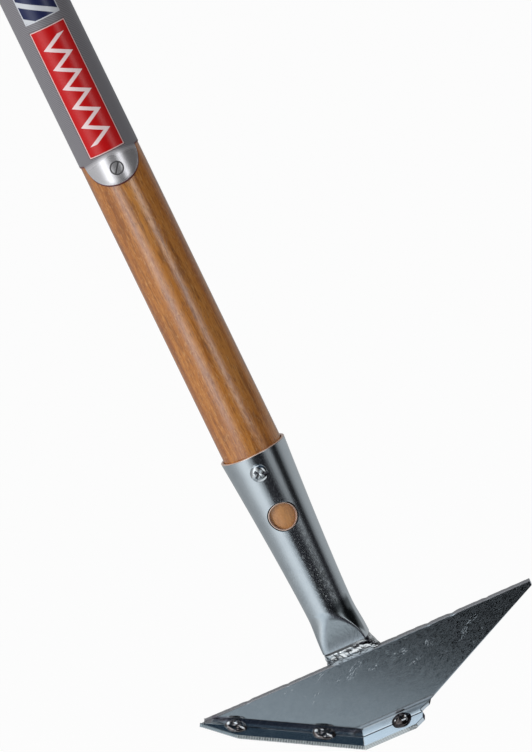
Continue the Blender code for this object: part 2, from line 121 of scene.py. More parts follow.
# Weld from the socket's end to the plate's top edge
WELD_HALF_WIDTH = 0.0135
WELD_SKEW = 0.0006
WELD_HALF_DEPTH = 0.0021
WELD_SWELL = 0.0012
WELD_SEAT = 0.0006
WELD_OVERLAP = 0.0003

# Tack welds: node, strip, distance from the fold corner, length, width, height
TACK_WELDS = (
    ("tack_weld_tip", "left", 0.0574, 0.0104, 0.0066, 0.0017),
    ("tack_weld_middle", "left", 0.0173, 0.0106, 0.0064, 0.0017),
    ("tack_weld_corner", "lower", 0.0187, 0.0098, 0.0070, 0.0027),
)

# Label
LABEL_TURN = math.radians(10)
LABEL_DROP = 0.0128
LABEL_HALF_ANGLE = math.radians(58.6)
LABEL_GAP = 0.00015
LABEL_THICKNESS = 0.0002

# Rounding of cut edges
MOUTH_ROUND = 0.00030
FOOT_ROUND = 0.00010
HOLE_ROUND = 0.00016
SHEET_ROUND = 0.00028
BAR_ROUND = 0.00016
SERRATED_LIP = 0.00036

# How finely the blade's sheet is divided
LEFT_COLUMNS = 96
LOWER_COLUMNS = 41
WING_COLUMNS = 89
FLAT_ROWS = 39

# Light tent
TENT_RADIUS = 0.9
TENT_LOW = -0.75
TENT_HIGH = 2.3
FLOOR_Z = -0.79

# Camera
LENS = 235.8
CAMERA_TURN = math.radians(10)
CAMERA_RISE = math.radians(10)
CAMERA_ROLL = math.radians(-25.8134)
CAMERA_DISTANCE = 2.2
AIM_ACROSS = 0.0201251
AIM_ABOVE_MOUTH = 0.0278992

# Paint works in millimetres
MM = 1000
TICK_PITCH = 1.333 * TOOTH_PITCH

ACROSS = np.array([1.0, 0.0, 0.0])
DOWN = np.array([0.0, math.sin(BLADE_TILT), -math.cos(BLADE_TILT)])
OUT = np.array([0.0, -math.cos(BLADE_TILT), -math.sin(BLADE_TILT)])

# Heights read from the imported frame
socket_low, socket_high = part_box("socket")
MOUTH_Z = socket_high.z
FOOT_Z = socket_low.z
SOCKET_LENGTH = MOUTH_Z - FOOT_Z
HANDLE_LOW, HANDLE_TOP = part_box("handle")[0].z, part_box("handle")[1].z
LABEL_LOW, LABEL_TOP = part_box("label_wrap")[0].z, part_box("label_wrap")[1].z
LOWER_SIDE = (np.array([1.0, 0.0]), np.array([0.0, 1.0]))
LEFT_SIDE = (
    np.array([-math.cos(LEFT_SLOPE), -math.sin(LEFT_SLOPE)]),
    np.array([-math.sin(LEFT_SLOPE), math.cos(LEFT_SLOPE)]),
)
SIDES = {"lower": LOWER_SIDE, "left": LEFT_SIDE}
MITRE = (LOWER_SIDE[1] + LEFT_SIDE[1]) / (1 + LEFT_SIDE[1] @ LOWER_SIDE[1])


def in_plate(across, down, out=0.0):
    """Vectors from amounts along the plate's three directions, for numbers or whole arrays."""
    across, down, out = np.broadcast_arrays(across, down, out)
    return across[..., None] * ACROSS + down[..., None] * DOWN + out[..., None] * OUT


def band_directions(side):
    """Along the fold, down the folded band, and out of its front face."""
    along, away = SIDES[side]
    c, s = math.cos(FOLD_ANGLE), math.sin(FOLD_ANGLE)
    return in_plate(*along), in_plate(*(away * c), s), in_plate(*(away * -s), c)


# The plain strip's edge is at the frame's origin, so the plate's top edge follows from it
LOWER_DOWN, LOWER_FRONT = band_directions("lower")[1:]
FROM_TOP = DOWN * BLADE_DEPTH + LOWER_DOWN * STRIP_FOOT - LOWER_FRONT * STRIP_THICKNESS / 2
BLADE_TOP = np.array([0.0, -FROM_TOP[1], -FROM_TOP[2]])
CORNER = BLADE_TOP + in_plate(FOLD_CORNER, BLADE_DEPTH)


# Mesh helpers


def quads(rows, columns, closed):
    """Corner numbers of a grid's squares: a, b, b + one row, a + one row, as one array."""
    row = np.arange(rows - 1)[:, None]
    column = np.arange(columns if closed else columns - 1)[None, :]
    a = row * columns + column
    b = row * columns + (column + 1) % columns
    return np.stack([a, b, b + columns, a + columns], axis=-1).reshape(-1, 4)


def new_mesh(name, points, faces):
    """A mesh object in the scene."""
    mesh = bpy.data.meshes.new(name)
    mesh.from_pydata(np.asarray(points).reshape(-1, 3).tolist(), [], faces)
    mesh.validate()
    obj = bpy.data.objects.new(name, mesh)
    bpy.context.scene.collection.objects.link(obj)
    return obj


def full_turn(steps):
    """Angles once round, evenly apart."""
    return np.linspace(0, 2 * np.pi, steps, endpoint=False)


def spread(*ways):
    """Points from their coordinates, all spread to one grid."""
    return np.stack(np.broadcast_arrays(*ways), axis=-1)


def turned(radius, height, turn):
    """Points round Z from radii and heights at angles."""
    return spread(radius * np.cos(turn), radius * np.sin(turn), height)


def unit(share):
    """Kept between 0 and 1."""
    return np.clip(share, 0, 1)


def eased(share):
    """From 0 to 1 with a level start and end: 3 share ** 2 - 2 share ** 3."""
    return share**2 * (3 - 2 * share)


def ring_surface(name, grid):
    """Rings of points, one per row, joined into a tube whose first and last rings are closed."""
    rows, columns = grid.shape[:2]
    faces = quads(rows, columns, True).tolist()
    last = (rows - 1) * columns
    faces.append(list(range(columns))[::-1])
    faces.append(list(range(last, last + columns)))
    return new_mesh(name, grid, faces)


def outward(obj):
    """Merges what coincides and turns a closed shell's faces outward."""
    shape = bmesh.new()
    shape.from_mesh(obj.data)
    bmesh.ops.remove_doubles(shape, verts=shape.verts, dist=1e-7)
    bmesh.ops.recalc_face_normals(shape, faces=shape.faces)
    shape.to_mesh(obj.data)
    shape.free()
    return obj


def shell(name, points, faces, normals, loops, thickness):
    """A closed wall behind a sheet of squares, with rounded rims.

    The sheet's rim points move inward by each loop's cut. From there rows of points follow a quarter
    circle out to the outline, go straight through the wall, and a quarter circle back in to the
    rear sheet, which is the front one moved back along its normals by the thickness.
    """
    points = points.copy()
    rear = points - normals * thickness
    total = len(points)
    grown, added, start = [], [], 2 * total
    for loop, cut in loops:
        edge = points[loop]
        ahead = np.roll(edge, -1, 0) - np.roll(edge, 1, 0)
        out = np.cross(normals[loop], ahead)
        out /= np.linalg.norm(out, axis=1, keepdims=True) + 1e-12
        steps = ((0.7, 0.05), (0.29, 0.29), (0.05, 0.7), (0.0, 1.0))
        rows = [edge - out * cut * a - normals[loop] * cut * b for a, b in steps]
        rows += [edge - out * cut * a - normals[loop] * (thickness - cut * b) for a, b in steps[::-1]]
        points[loop] = edge - out * cut
        rear[loop] = edge - out * cut - normals[loop] * thickness
        count = len(loop)
        numbers = start + np.arange(len(rows) * count).reshape(len(rows), count)
        numbers = np.concatenate([loop[None], numbers, loop[None] + total])
        ring = quads(len(numbers), count, True)
        added.append(numbers.reshape(-1)[ring][:, ::-1])
        grown += rows
        start += len(rows) * count
    everything = np.concatenate([points, rear, *grown])
    squares = np.concatenate([faces, faces[:, ::-1] + total, *added])
    return outward(new_mesh(name, everything, squares.tolist()))


def settled(obj, sharp):
    """Smooths the mesh up to an angle in degrees."""
    obj.data.shade_smooth()
    obj.data.set_sharp_from_angle(angle=math.radians(sharp))
    return obj


def placed(local, x_way, y_way, z_way, origin):
    """Local coordinates turned to three directions and moved to a point."""
    return local[..., :1] * x_way + local[..., 1:2] * y_way + local[..., 2:3] * z_way + origin


def waves(x, y, seed, count=6, low=1.0, high=3.0):
    """A smooth uneven field from -1 to 1: a sum of sine waves with seeded ways and phases."""
    rng = np.random.default_rng(seed)
    total = np.zeros(np.broadcast(x, y).shape)
    for turn, pace, phase in rng.uniform((0, low, 0), (2 * np.pi, high, 2 * np.pi), (count, 3)):
        total = total + np.sin(pace * (x * np.cos(turn) + y * np.sin(turn)) + phase)
    return total / count**0.5 / 1.4


def finish_piece(obj, node, material):
    """Gives a piece its material and its body, and hides its CAD node."""
    obj.data.materials.append(material)
    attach(obj, "root")
    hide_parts(node)


def ring_piece(name, grid, sharp, node, material):
    """A piece made of closed rings of points."""
    obj = settled(outward(ring_surface(name, grid)), sharp)
    finish_piece(obj, node, material)


# Handle and socket shapes


def socket_radius(down):
    """Neck radius plus the mouth's spread times (1 - down / taper) to the taper's power."""
    left = unit(1 - down / TAPER)
    mouth = HANDLE_RADIUS + CLEARANCE + WALL
    return NECK_RADIUS + (mouth - NECK_RADIUS) * left**TAPER_POWER


def socket_section(down):
    """Half width, depth of the pressed flats, and how square the section is.

    All ease to the end's. The flats close fastest where they leave the round tube: the depth's
    gap is the share of the pressed length to the power 1.25.
    """
    radius = socket_radius(down)
    height = (SOCKET_LENGTH - down) / PRESSED
    ease = eased(unit(1 - height))
    width = radius + (END_HALF_WIDTH - radius) * ease
    flat = END_HALF_DEPTH + (NECK_RADIUS + FLATS_OUTSIDE - END_HALF_DEPTH) * height**1.25
    return width, flat, 2 + 1.3 * ease


def pressed_ring(width, flat, square, turn):
    """A squarish ring, |x| ** n + |y| ** n = width ** n, that meets the flats in a smooth minimum.

    The minimum is softer towards the left than on the right.
    """
    c, s = np.cos(turn), np.sin(turn)
    reach = width / (np.abs(c) ** square + np.abs(s) ** square) ** (1 / square)
    x, y = reach * c, reach * s
    soft = SOFT_RIGHT + (SOFT_LEFT - SOFT_RIGHT) * unit(-1.6 * c - 0.1)
    depth = np.abs(y)
    gap = np.clip((depth - flat) / soft, -1, 1)
    pressed = np.where(depth > flat + soft, flat, depth - soft * (gap + 1) ** 2 / 4)
    return x, np.sign(y) * np.minimum(depth, pressed)


def wall_frame(turn, down):
    """Side, up and outward ways at the socket's front, square to its taper, and a point there."""
    step = 0.001
    spread = float(socket_radius(down - step) - socket_radius(down + step)) / (2 * step)
    radial = np.array([math.sin(turn), -math.cos(turn), 0.0])
    out = radial - np.array([0.0, 0.0, spread])
    out = out / np.linalg.norm(out)
    side = np.array([math.cos(turn), math.sin(turn), 0.0])
    origin = radial * float(socket_radius(down)) + np.array([0.0, 0.0, MOUTH_Z - down])
    return side, np.cross(out, side), out, origin


def handle_piece(material):
    """Radius and height turned round Z: quarter ellipse dome, straight stick, tapered seat."""
    dome = np.linspace(0.02, np.pi / 2, 26)
    radius = HANDLE_RADIUS * np.sin(dome)
    height = HANDLE_TOP - HANDLE_DOME * (1 - np.cos(dome))
    straight = np.linspace(height[-1], MOUTH_Z, 60)[1:]
    down = np.linspace(0, MOUTH_Z - HANDLE_LOW, 50)[1:]
    seat = np.minimum(socket_radius(down) - WALL - CLEARANCE, HANDLE_RADIUS)
    radius = np.concatenate([radius, np.full(len(straight), HANDLE_RADIUS), seat])
    height = np.concatenate([height, straight, MOUTH_Z - down])
    grid = turned(radius[:, None], height[:, None], full_turn(112))
    ring_piece("handle_wood", grid, 40, "handle", material)


def ring_of_block(centre_row, centre_column, reach, columns):
    """Point numbers round a square block of a grid that closes on itself, in order."""
    run = np.arange(-reach, reach)
    rows = np.concatenate([0 * run - reach, run, 0 * run + reach, -run])
    across = np.concatenate([run, 0 * run + reach, -run, 0 * run - reach])
    return (centre_row + rows) * columns + (centre_column + across) % columns


def drilled(points, faces, rings, columns, turn, down, radius, reach):
    """Draws a square block's rim onto a round hole and takes the block out.

    Round the block, a point keeps its way from the hole's centre, and its distance goes evenly
    from the hole's radius at the block's rim to what it was at two and a half block widths.
    """
    side, up, out, origin = wall_frame(turn, down)
    row = round(down / SOCKET_LENGTH * (rings - 1))
    column = round((turn - math.pi / 2) / (2 * math.pi) * columns) % columns
    r, c = np.divmod(np.arange(rings * columns), columns)
    c = (c - column + columns // 2) % columns - columns // 2
    r = r - row
    block = np.maximum(np.abs(r), np.abs(c))
    weight = eased(unit(1 - (block - reach) / (1.5 * reach)))
    local = points - origin
    x, y = local @ side, local @ up
    step = SOCKET_LENGTH / (rings - 1)
    arc = 2 * math.pi / columns * float(socket_radius(down))
    u, v = c * arc, -r * step
    length = np.hypot(u, v) + 1e-12
    goal = radius * np.maximum(block, 1e-9) / reach / length
    x, y = x + (u * goal - x) * weight, y + (v * goal - y) * weight
    z = local @ out
    near = weight > 0
    moved = origin + x[:, None] * side + y[:, None] * up + z[:, None] * out
    for _ in range(6):
        reached = np.hypot(moved[:, 0], moved[:, 1])
        short = socket_radius(MOUTH_Z - moved[:, 2]) - reached
        slant = (moved[:, :2] @ out[:2]) / (reached + 1e-12)
        moved = moved + np.where(near, short / np.where(near, slant, 1), 0)[:, None] * out
    points = np.where(near[:, None], moved, points)
    kept = faces[(block[faces] >= reach).any(1)]
    return points, kept, ring_of_block(row, column, reach, columns)


def socket_piece(material):
    """Rings of the section down the tube, drilled, then given its wall and rounded rims."""
    columns, rings = 220, 240
    down = np.linspace(0, SOCKET_LENGTH, rings)[:, None]
    width, flat, square = socket_section(down)
    x, y = pressed_ring(width, flat, square, full_turn(columns))
    points = spread(x, y, MOUTH_Z - down).reshape(-1, 3)
    faces = quads(rings, columns, True)[:, ::-1]
    # turn, distance down, radius, and half width of the block that is taken out, in squares
    holes = (
        (SIGHT_HOLE_TURN, SIGHT_HOLE_DOWN, SIGHT_HOLE_RADIUS, 14),
        (SCREW_TURN, SCREW_DOWN, SCREW_SHANK_RADIUS + CLEARANCE, 4),
    )
    foot = (rings - 1) * columns + np.arange(columns)[::-1]
    loops = [(np.arange(columns), MOUTH_ROUND), (foot, FOOT_ROUND)]
    for turn, place, radius, reach in holes:
        points, faces, loop = drilled(points, faces, rings, columns, turn, place, radius, reach)
        loops.append((loop[::-1], HOLE_ROUND))
    grid = points.reshape(rings, columns, 3)
    down_way = np.gradient(grid, axis=0)
    round_way = np.roll(grid, -1, 1) - np.roll(grid, 1, 1)
    normals = np.cross(down_way, round_way)
    normals /= np.linalg.norm(normals, axis=-1, keepdims=True)
    away = (normals[..., :2] * grid[..., :2]).sum(-1, keepdims=True)
    normals = (normals * np.sign(away)).reshape(-1, 3)
    obj = shell("socket_tube", points, faces, normals, loops, WALL)
    finish_piece(settled(obj, 50), "socket", material)


def screw_piece(material):
    """Polar rings from the recess out over the domed head, under its rim and down the shank.

    The head's height is an ellipse of the radius. The cross recess takes away its depth where
    either slot's distance is inside, with sloping walls.
    """
    turn = full_turn(144)
    share = np.linspace(0.012, 1, 54)[:, None]
    radius = SCREW_HEAD_RADIUS * share
    x, y = radius * np.cos(turn), radius * np.sin(turn)
    dome = SCREW_HEAD_HEIGHT - SCREW_RIM_HEIGHT
    top = SCREW_RIM_HEIGHT + dome * np.sqrt(unit(1 - share**2.6))
    c, s = math.cos(RECESS_TURN), math.sin(RECESS_TURN)
    a, b = np.abs(x * c + y * s), np.abs(-x * s + y * c)
    slot = np.maximum(
        np.minimum(RECESS_HALF_SLOT - a, RECESS_HALF_WIDTH - b),
        np.minimum(RECESS_HALF_SLOT - b, RECESS_HALF_WIDTH - a),
    )
    sink = eased(unit(slot / RECESS_WALL + 0.5)) * (1 - 0.35 * radius / RECESS_HALF_WIDTH)
    head = spread(x, y, top - RECESS_DEPTH * sink)
    rest = (
        (SCREW_HEAD_RADIUS, SCREW_RIM_CUT),
        (SCREW_HEAD_RADIUS - SCREW_RIM_CUT, 0),
        (SCREW_SHANK_RADIUS, 0),
        (SCREW_SHANK_RADIUS, SCREW_POINT - SCREW_SHANK_LENGTH),
        (0.0002, -SCREW_SHANK_LENGTH),
    )
    radius, height = np.array(rest).T[..., None]
    low = turned(radius, height, turn)
    grid = placed(np.concatenate([head, low]), *wall_frame(SCREW_TURN, SCREW_DOWN))
    ring_piece("socket_screw_head", grid, 34, "socket_screw", material)


def weld_piece(material):
    """Rings from the socket's pressed end down to the plate: a neck, then a swollen band.

    Each ring eases from the end's outline to the long foot. The swelling is below the outline
    at the top and a half sine lower down. Low slanting ripples are a sine of the way across
    plus the way down, bent and weakened by slow lumps, so that no two are alike.
    """
    share = np.linspace(0, 1, 90)[:, None]
    turn = full_turn(420)
    c, s = np.cos(turn), np.sin(turn)
    width0, flat0 = (float(v) for v in socket_section(SOCKET_LENGTH)[:2])
    width = width0 + (WELD_HALF_WIDTH + WELD_SKEW * np.sign(c) - width0) * share**2.6
    flat = flat0 + (WELD_HALF_DEPTH - flat0) * share**1.3
    x = width * np.sign(c) * np.abs(c) ** 0.55
    y = flat * np.sign(s) * np.abs(s) ** 0.55 + (BLADE_THICKNESS / 2 / math.cos(BLADE_TILT)) * share
    length = np.hypot(x, y) + 1e-9
    down = share * (FOOT_Z - BLADE_TOP[2])
    band = unit((share - 0.16) / 0.84)
    ends = unit((np.abs(x - 0.0005) - 0.0082) / 0.003)
    swell = WELD_SWELL * np.sin(np.pi * band**0.8) ** 0.75 - 0.1 * WELD_SWELL * (1 - band) ** 4
    swell = swell * (1 - 0.75 * ends)
    lumps = waves(x * 300, down * 400, 5, 7, 0.6, 2.0)
    bent = 2.0 * waves(x * 500, down * 500, 12, 6, 0.6, 2.0)
    ripple = np.sin((x * 0.75 - down * 0.66) * 2300 + bent) * (0.55 + 0.45 * lumps)
    pits = waves(x * 1500, down * 1500 + y * 900, 11, 9, 0.8, 2.4)
    rough = 0.00013 * ripple + 0.00020 * lumps + 0.00010 * pits * (0.5 + 1.2 * ends)
    grow = 1 + (swell + rough * np.sin(np.pi * band) ** 0.6) / length
    x, y = x * grow, y * grow
    foot = BLADE_TOP[2] + (y - BLADE_TOP[1]) * math.tan(BLADE_TILT) - WELD_SEAT
    head = FOOT_Z + WELD_OVERLAP
    z = head + (foot - head) * share
    ring_piece("socket_weld_bead", spread(x, y, z), 60, "socket_weld", material)


# Blade and strips


def fold_turn(distance):
    """The angle turned so far, from nothing at the arc's start to all of it at its end."""
    return FOLD_ANGLE * unit((distance + FOLD_REACH) / (2 * FOLD_REACH))


def fold_travel(distance):
    """Outward and forward travel past the fold: straight, an arc of the fold's radius, straight."""
    turn = fold_turn(distance)
    outward_way = -FOLD_REACH + FOLD_RADIUS * np.sin(turn)
    forward = FOLD_RADIUS * (1 - np.cos(turn))
    before = np.minimum(distance + FOLD_REACH, 0)
    after = np.maximum(distance - FOLD_REACH, 0)
    return outward_way + before + after * math.cos(FOLD_ANGLE), forward + after * math.sin(FOLD_ANGLE)


def wing_edge(down):
    """The straight lower right edge: across falls evenly from the blunt tip to the flange's end."""
    foot = BLADE_DEPTH + FLANGE_HEIGHT - FLANGE_END_HEIGHT
    return RIGHT_WING + (FLANGE_END - RIGHT_WING) * (down - RIGHT_TIP_BLUNT) / (foot - RIGHT_TIP_BLUNT)


def left_reach(distance):
    """How far along the left side a line this far past the fold meets the top edge's height."""
    along, away = LEFT_SIDE
    return (BLADE_DEPTH + away[1] * distance) / -along[1]


def fold_ends(distance):
    """Left end, mitre corner and right end of each line this far past the fold line."""
    corner = np.array([FOLD_CORNER, BLADE_DEPTH])
    along, out_left = LEFT_SIDE
    outward_way, forward = fold_travel(distance)
    left = corner + left_reach(distance)[:, None] * along + outward_way[:, None] * out_left
    middle = corner + outward_way[:, None] * MITRE
    down = np.minimum(BLADE_DEPTH + distance, BLADE_DEPTH + FLANGE_HEIGHT - FLANGE_END_HEIGHT)
    share = unit((distance - distance[0]) / (FLANGE_HEIGHT - distance[0]))
    trim = FLANGE_END_TRIM * np.sin(np.pi * share)
    right = spread(wing_edge(down) - trim, BLADE_DEPTH + outward_way)
    return left, middle, right, forward


def nicked(across):
    """How far the sheared top edge is worn back: small bites at chosen places and a faint wave."""
    # place across, half width, depth
    bites = (
        (0.0373, 0.0012, 0.00045), (0.0491, 0.0016, 0.0005), (0.0662, 0.0009, 0.0003),
        (-0.0328, 0.0010, 0.0003), (-0.0530, 0.0014, 0.00025), (0.0214, 0.0008, 0.00025),
    )
    worn = 0.00006 * (1 + waves(across * 900, 0 * across, 3))
    for place, width, depth in bites:
        worn = worn + depth * np.exp(-(((across - place) / width) ** 2))
    return worn


def blade_piece(material):
    """The front face as one sheet: upright columns down the flat, then rows round the fold.

    The fold's row is the lower end of each column. Near the left tip the fold line curves to
    meet the tip, and that shift fades to nothing at the band's lower edge.
    """
    arc = np.linspace(-FOLD_REACH, FOLD_REACH, 13)
    straight = np.array([0.30, 0.55, 0.8, 1.0]) * (FLANGE_HEIGHT - FOLD_REACH) + FOLD_REACH
    distance = np.concatenate([arc, straight])
    left, middle, right, forward = fold_ends(distance)
    a = np.linspace(0, 1, LEFT_COLUMNS)[None, :, None]
    b = np.linspace(0, 1, LOWER_COLUMNS + 1)[None, 1:, None]
    left_rows = left[:, None] + (middle - left)[:, None] * a
    lower_rows = middle[:, None] + (right - middle)[:, None] * b
    # the curved part of the fold line, a cubic from the tip to where the straight line starts
    x = LEFT_TIP + (middle[0, 0] - LEFT_TIP) * a[0, :, 0]
    slope = math.tan(LEFT_SLOPE)
    line = middle[0, 1] + (x - middle[0, 0]) * slope
    start = middle[0, 1] + (LEFT_BEND_START - middle[0, 0]) * slope
    span = LEFT_BEND_START - LEFT_TIP
    t = unit((x - LEFT_TIP) / span)
    bend = start * eased(t) + span * (slope * (t**3 - t**2) + 0.14 * (t - 2 * t**2 + t**3))
    shift = spread(x, np.where(t < 1, bend, line)) - left_rows[0]
    fade = 1 - np.linspace(0, 1, len(distance))[:, None, None] ** 1.2
    rows = np.concatenate([left_rows + shift[None] * fade, lower_rows], axis=1)
    band = BLADE_TOP + in_plate(rows[..., 0], rows[..., 1], forward[:, None])
    # columns of the flat part, down to the fold row and then down to the wing's lower edge
    wing = right[0, 0] + (RIGHT_WING - right[0, 0]) * np.linspace(0, 1, WING_COLUMNS + 1)[1:]
    wing_down = np.interp(wing, [right[0, 0], RIGHT_WING], [right[0, 1], RIGHT_TIP_BLUNT])
    across = np.concatenate([rows[0, :, 0], wing])
    depth = np.concatenate([rows[0, :, 1], wing_down])
    share = np.linspace(0, 1, FLAT_ROWS + 1)[:-1, None]
    worn = np.minimum(nicked(across), depth * 0.5)
    down = worn * (1 - share) + depth * share
    flat = BLADE_TOP + in_plate(np.broadcast_to(across, down.shape), down)
    low = BLADE_TOP + in_plate(wing, wing_down)
    # one numbering: the flat rows, the fold rows, then the wing's lower edge
    columns, folded, bends = len(across), rows.shape[1], len(distance)
    total = FLAT_ROWS * columns
    flat_numbers = np.arange(total).reshape(FLAT_ROWS, columns)
    band_numbers = total + np.arange(bends * folded).reshape(bends, folded)
    low_numbers = total + bends * folded + np.arange(WING_COLUMNS)
    fold_row = np.concatenate([band_numbers[0], low_numbers])
    upper = np.concatenate([flat_numbers, fold_row[None]]).reshape(-1)
    upper = upper[quads(FLAT_ROWS + 1, columns, False)]
    faces = np.concatenate([upper, band_numbers.reshape(-1)[quads(bends, folded, False)]])
    points = np.concatenate([flat.reshape(-1, 3), band.reshape(-1, 3), low])
    # which way each column's front face turns in the fold, halfway at the mitre, less at the tip
    left_share = np.concatenate([np.ones(LEFT_COLUMNS), np.zeros(LOWER_COLUMNS)])[:, None]
    left_share[LEFT_COLUMNS - 1] = 0.5
    lean = left_share * LEFT_SIDE[1] + (1 - left_share) * LOWER_SIDE[1]
    lean /= np.linalg.norm(lean, axis=1, keepdims=True)
    tip_fade = 1 - np.concatenate([unit(1 - t), np.zeros(LOWER_COLUMNS)]) * 0.45
    angle = fold_turn(distance)[:, None] * tip_fade
    sine = -np.sin(angle)
    bent = in_plate(sine * lean[:, 0], sine * lean[:, 1], np.cos(angle)).reshape(-1, 3)
    normals = np.concatenate([np.tile(OUT, (total, 1)), bent, np.tile(OUT, (WING_COLUMNS, 1))])
    right_rim = flat_numbers[0], flat_numbers[1:, -1], low_numbers[::-1], band_numbers[:, -1]
    left_rim = band_numbers[-1, -2::-1], band_numbers[-2::-1, 0], flat_numbers[:0:-1, 0]
    loop = np.concatenate(right_rim + left_rim)
    obj = shell("blade_sheet", points, faces, normals, [(loop, SHEET_ROUND)], BLADE_THICKNESS)
    finish_piece(settled(obj, 28), "blade_plate", material)


def strip_piece(name, side, outline, top, lip, node, material):
    """Rings round a flat bar, one at each place along it, from the mitre to its outer end.

    The outline is the places and the lower edge at each. A ring goes down the front face, under
    the foot, and up the back, with its corners cut a little, the upper front one by the lip.
    The mitred end leans with depth.
    """
    along, down, front = band_directions(side)
    a, low = (line[:, None] for line in outline)
    cut = BAR_ROUND
    height = np.maximum(low - top, 4 * cut)
    # round the bar: the share of its height and what is added to it, then the depth behind its face
    shares = np.array([0, 0.5, 1, 1, 1, 1, 1, 0.5, 0, 0, 0])
    added = np.array([lip, 0, -cut, 0, 0, 0, -cut, 0, cut, 0, 0])
    downs = top + height * shares + added
    back = STRIP_THICKNESS
    behind = np.array([0, 0, 0, cut, back / 2, back - cut, back, back, back, back - cut, lip])
    level = downs * math.cos(FOLD_ANGLE) + behind * math.sin(FOLD_ANGLE)
    lean = STRIP_GAP / 2 - MITRE_LEAN * level
    span = a[-1, 0]
    places = lean + (span - lean) * (a / span)
    grid = CORNER + places[..., None] * along + downs[..., None] * down - behind[:, None] * front
    ring_piece(name, grid, 24, node, material)


def serrated_foot():
    """Places along the strip and its foot: straight, then rising to the tip, less V teeth."""
    tip = left_reach(FLANGE_HEIGHT) + TIP_OVERHANG
    heel = tip - TIP_CHAMFER
    teeth = round(tip / TOOTH_PITCH)
    place = np.linspace(0, tip, teeth * 6 + 1)
    share = unit((place - heel) / TIP_CHAMFER)
    foot = STRIP_FOOT + (STRIP_TOP + TOOTH_DEPTH - STRIP_FOOT) * share
    phase = np.abs((place * teeth / tip) % 1.0 - 0.5) * 2
    tooth = TOOTH_DEPTH * unit(1.25 - 1.5 * phase)
    return place, np.maximum(foot - tooth, STRIP_TOP + 0.0003)


def plain_foot():
    """Places along the plain strip and its foot, with the outer corner cut off."""
    end = FLANGE_END - FOLD_CORNER
    first = end - END_INSET - END_CHAMFER
    corner = np.linspace(first, end - END_INSET, 12)[1:]
    place = np.concatenate([np.linspace(0, first, 40), corner, [end - 0.0002, end]])
    foot = np.interp(
        place,
        [0, first, end - END_INSET, end],
        [STRIP_FOOT, STRIP_FOOT, STRIP_FOOT - END_CHAMFER_HEIGHT, STRIP_TOP + 0.0006],
    )
    return place, foot


def tack_piece(number, node, side, distance, length, width, height, material):
    """A rough dome over the seam: a flattened ellipsoid with uneven rim, ripples and a crater."""
    turn = full_turn(120)
    share = np.concatenate([np.linspace(0.01, 0.94, 44), [0.975, 1.0, 1.0]])[:, None]
    uneven = 1 + 0.07 * waves(2.2 * np.cos(turn), 2.2 * np.sin(turn), 20 + number)
    x = length / 2 * share * np.cos(turn) * uneven
    y = width / 2 * share * np.sin(turn) * uneven
    profile = unit(1 - share**2.4) ** 0.62
    rough = waves(x * 1500, y * 1500, 30 + number, 8, 0.7, 2.2)
    ring = np.cos(share * 7.5 + 0.8 * waves(x * 500, y * 500, 40 + number))
    lump = 1 + 0.05 * rough + 0.09 * ring
    crater = 0.22 * np.exp(-(((x - 0.0012) / 0.0016) ** 2) - ((y + 0.0004) / 0.0012) ** 2)
    z = height * profile * (lump - crater) + 0.00012
    z[-1] = -0.0004
    along, down, front = band_directions(side)
    origin = CORNER + along * distance + down * SEAM_DOWN
    grid = placed(spread(x, y, z), along, np.cross(front, along), front, origin)
    ring_piece(node + "_bead", grid, 60, node, material)


def label_piece(material):
    """Rings round the stick, inner then outer, whose low end drops by a half ellipse in front."""
    steps = 288
    turn = full_turn(steps)
    front = (turn + np.pi / 2 - LABEL_TURN + np.pi) % (2 * np.pi) - np.pi
    share = unit(np.abs(front) / LABEL_HALF_ANGLE)
    low = LABEL_LOW + LABEL_DROP * (1 - np.sqrt(1 - share**2))
    rows = np.concatenate([[0.0, 0.0006], np.linspace(0.02, 0.98, 30), [0.9994, 1.0]])[:, None]
    height = LABEL_TOP + (low - LABEL_TOP) * rows
    inner = HANDLE_RADIUS + LABEL_GAP / 3
    outer = HANDLE_RADIUS + LABEL_GAP + LABEL_THICKNESS
    radius = np.full((len(rows), 1), outer)
    radius[0] = radius[-1] = outer - 0.00005
    height = np.concatenate([height, height[::-1]])
    grid = turned(np.concatenate([radius, np.full((len(rows), 1), inner)]), height, turn)
    faces = quads(len(grid), steps, True).tolist()
    last = (len(grid) - 1) * steps
    turns = np.arange(steps)
    seam = np.stack([last + turns, last + (turns + 1) % steps, (turns + 1) % steps, turns], -1)
    obj = new_mesh("label_foil_wrap", grid, faces + seam.tolist())
    finish_piece(settled(outward(obj), 40), "label_wrap", material)


# Shader tools


def operator(operation, *fixed):
    """A method that adds one Math node of a kind."""
    return lambda value, *others: value.math(operation, *others, *fixed)


class Value:
    """A number socket. Python's operators on it add Math nodes."""

    def __init__(self, nodes, socket):
        self.nodes = nodes
        self.socket = socket

    def math(self, operation, *others, clamp=False):
        """One Math node with this number first."""
        values = dict(enumerate((self, *others)))
        node = self.nodes.node("Math", values, operation=operation, use_clamp=clamp)
        return Value(self.nodes, node.outputs[0])

    def __rsub__(self, other):
        node = self.nodes.node("Math", {0: other, 1: self}, operation="SUBTRACT")
        return Value(self.nodes, node.outputs[0])

    __add__ = __radd__ = operator("ADD")
    __sub__ = operator("SUBTRACT")
    __mul__ = __rmul__ = operator("MULTIPLY")
    __truediv__ = operator("DIVIDE")
    __neg__ = operator("MULTIPLY", -1)
    __abs__ = operator("ABSOLUTE")
    root = operator("SQRT")
    least = operator("MINIMUM")
    most = operator("MAXIMUM")
    fraction = operator("FRACT")

    def clipped(self):
        """Kept between 0 and 1."""
        return self.math("ADD", 0, clamp=True)

    def above(self, limit, soft):
        """0 below the limit and 1 above it, eased over the soft width."""
        return ((self - limit) / soft + 0.5).clipped()

    def within(self, centre, half, soft):
        """1 within half a width of the centre, eased at both edges."""
        return (half - abs(self - centre)).above(0, soft)


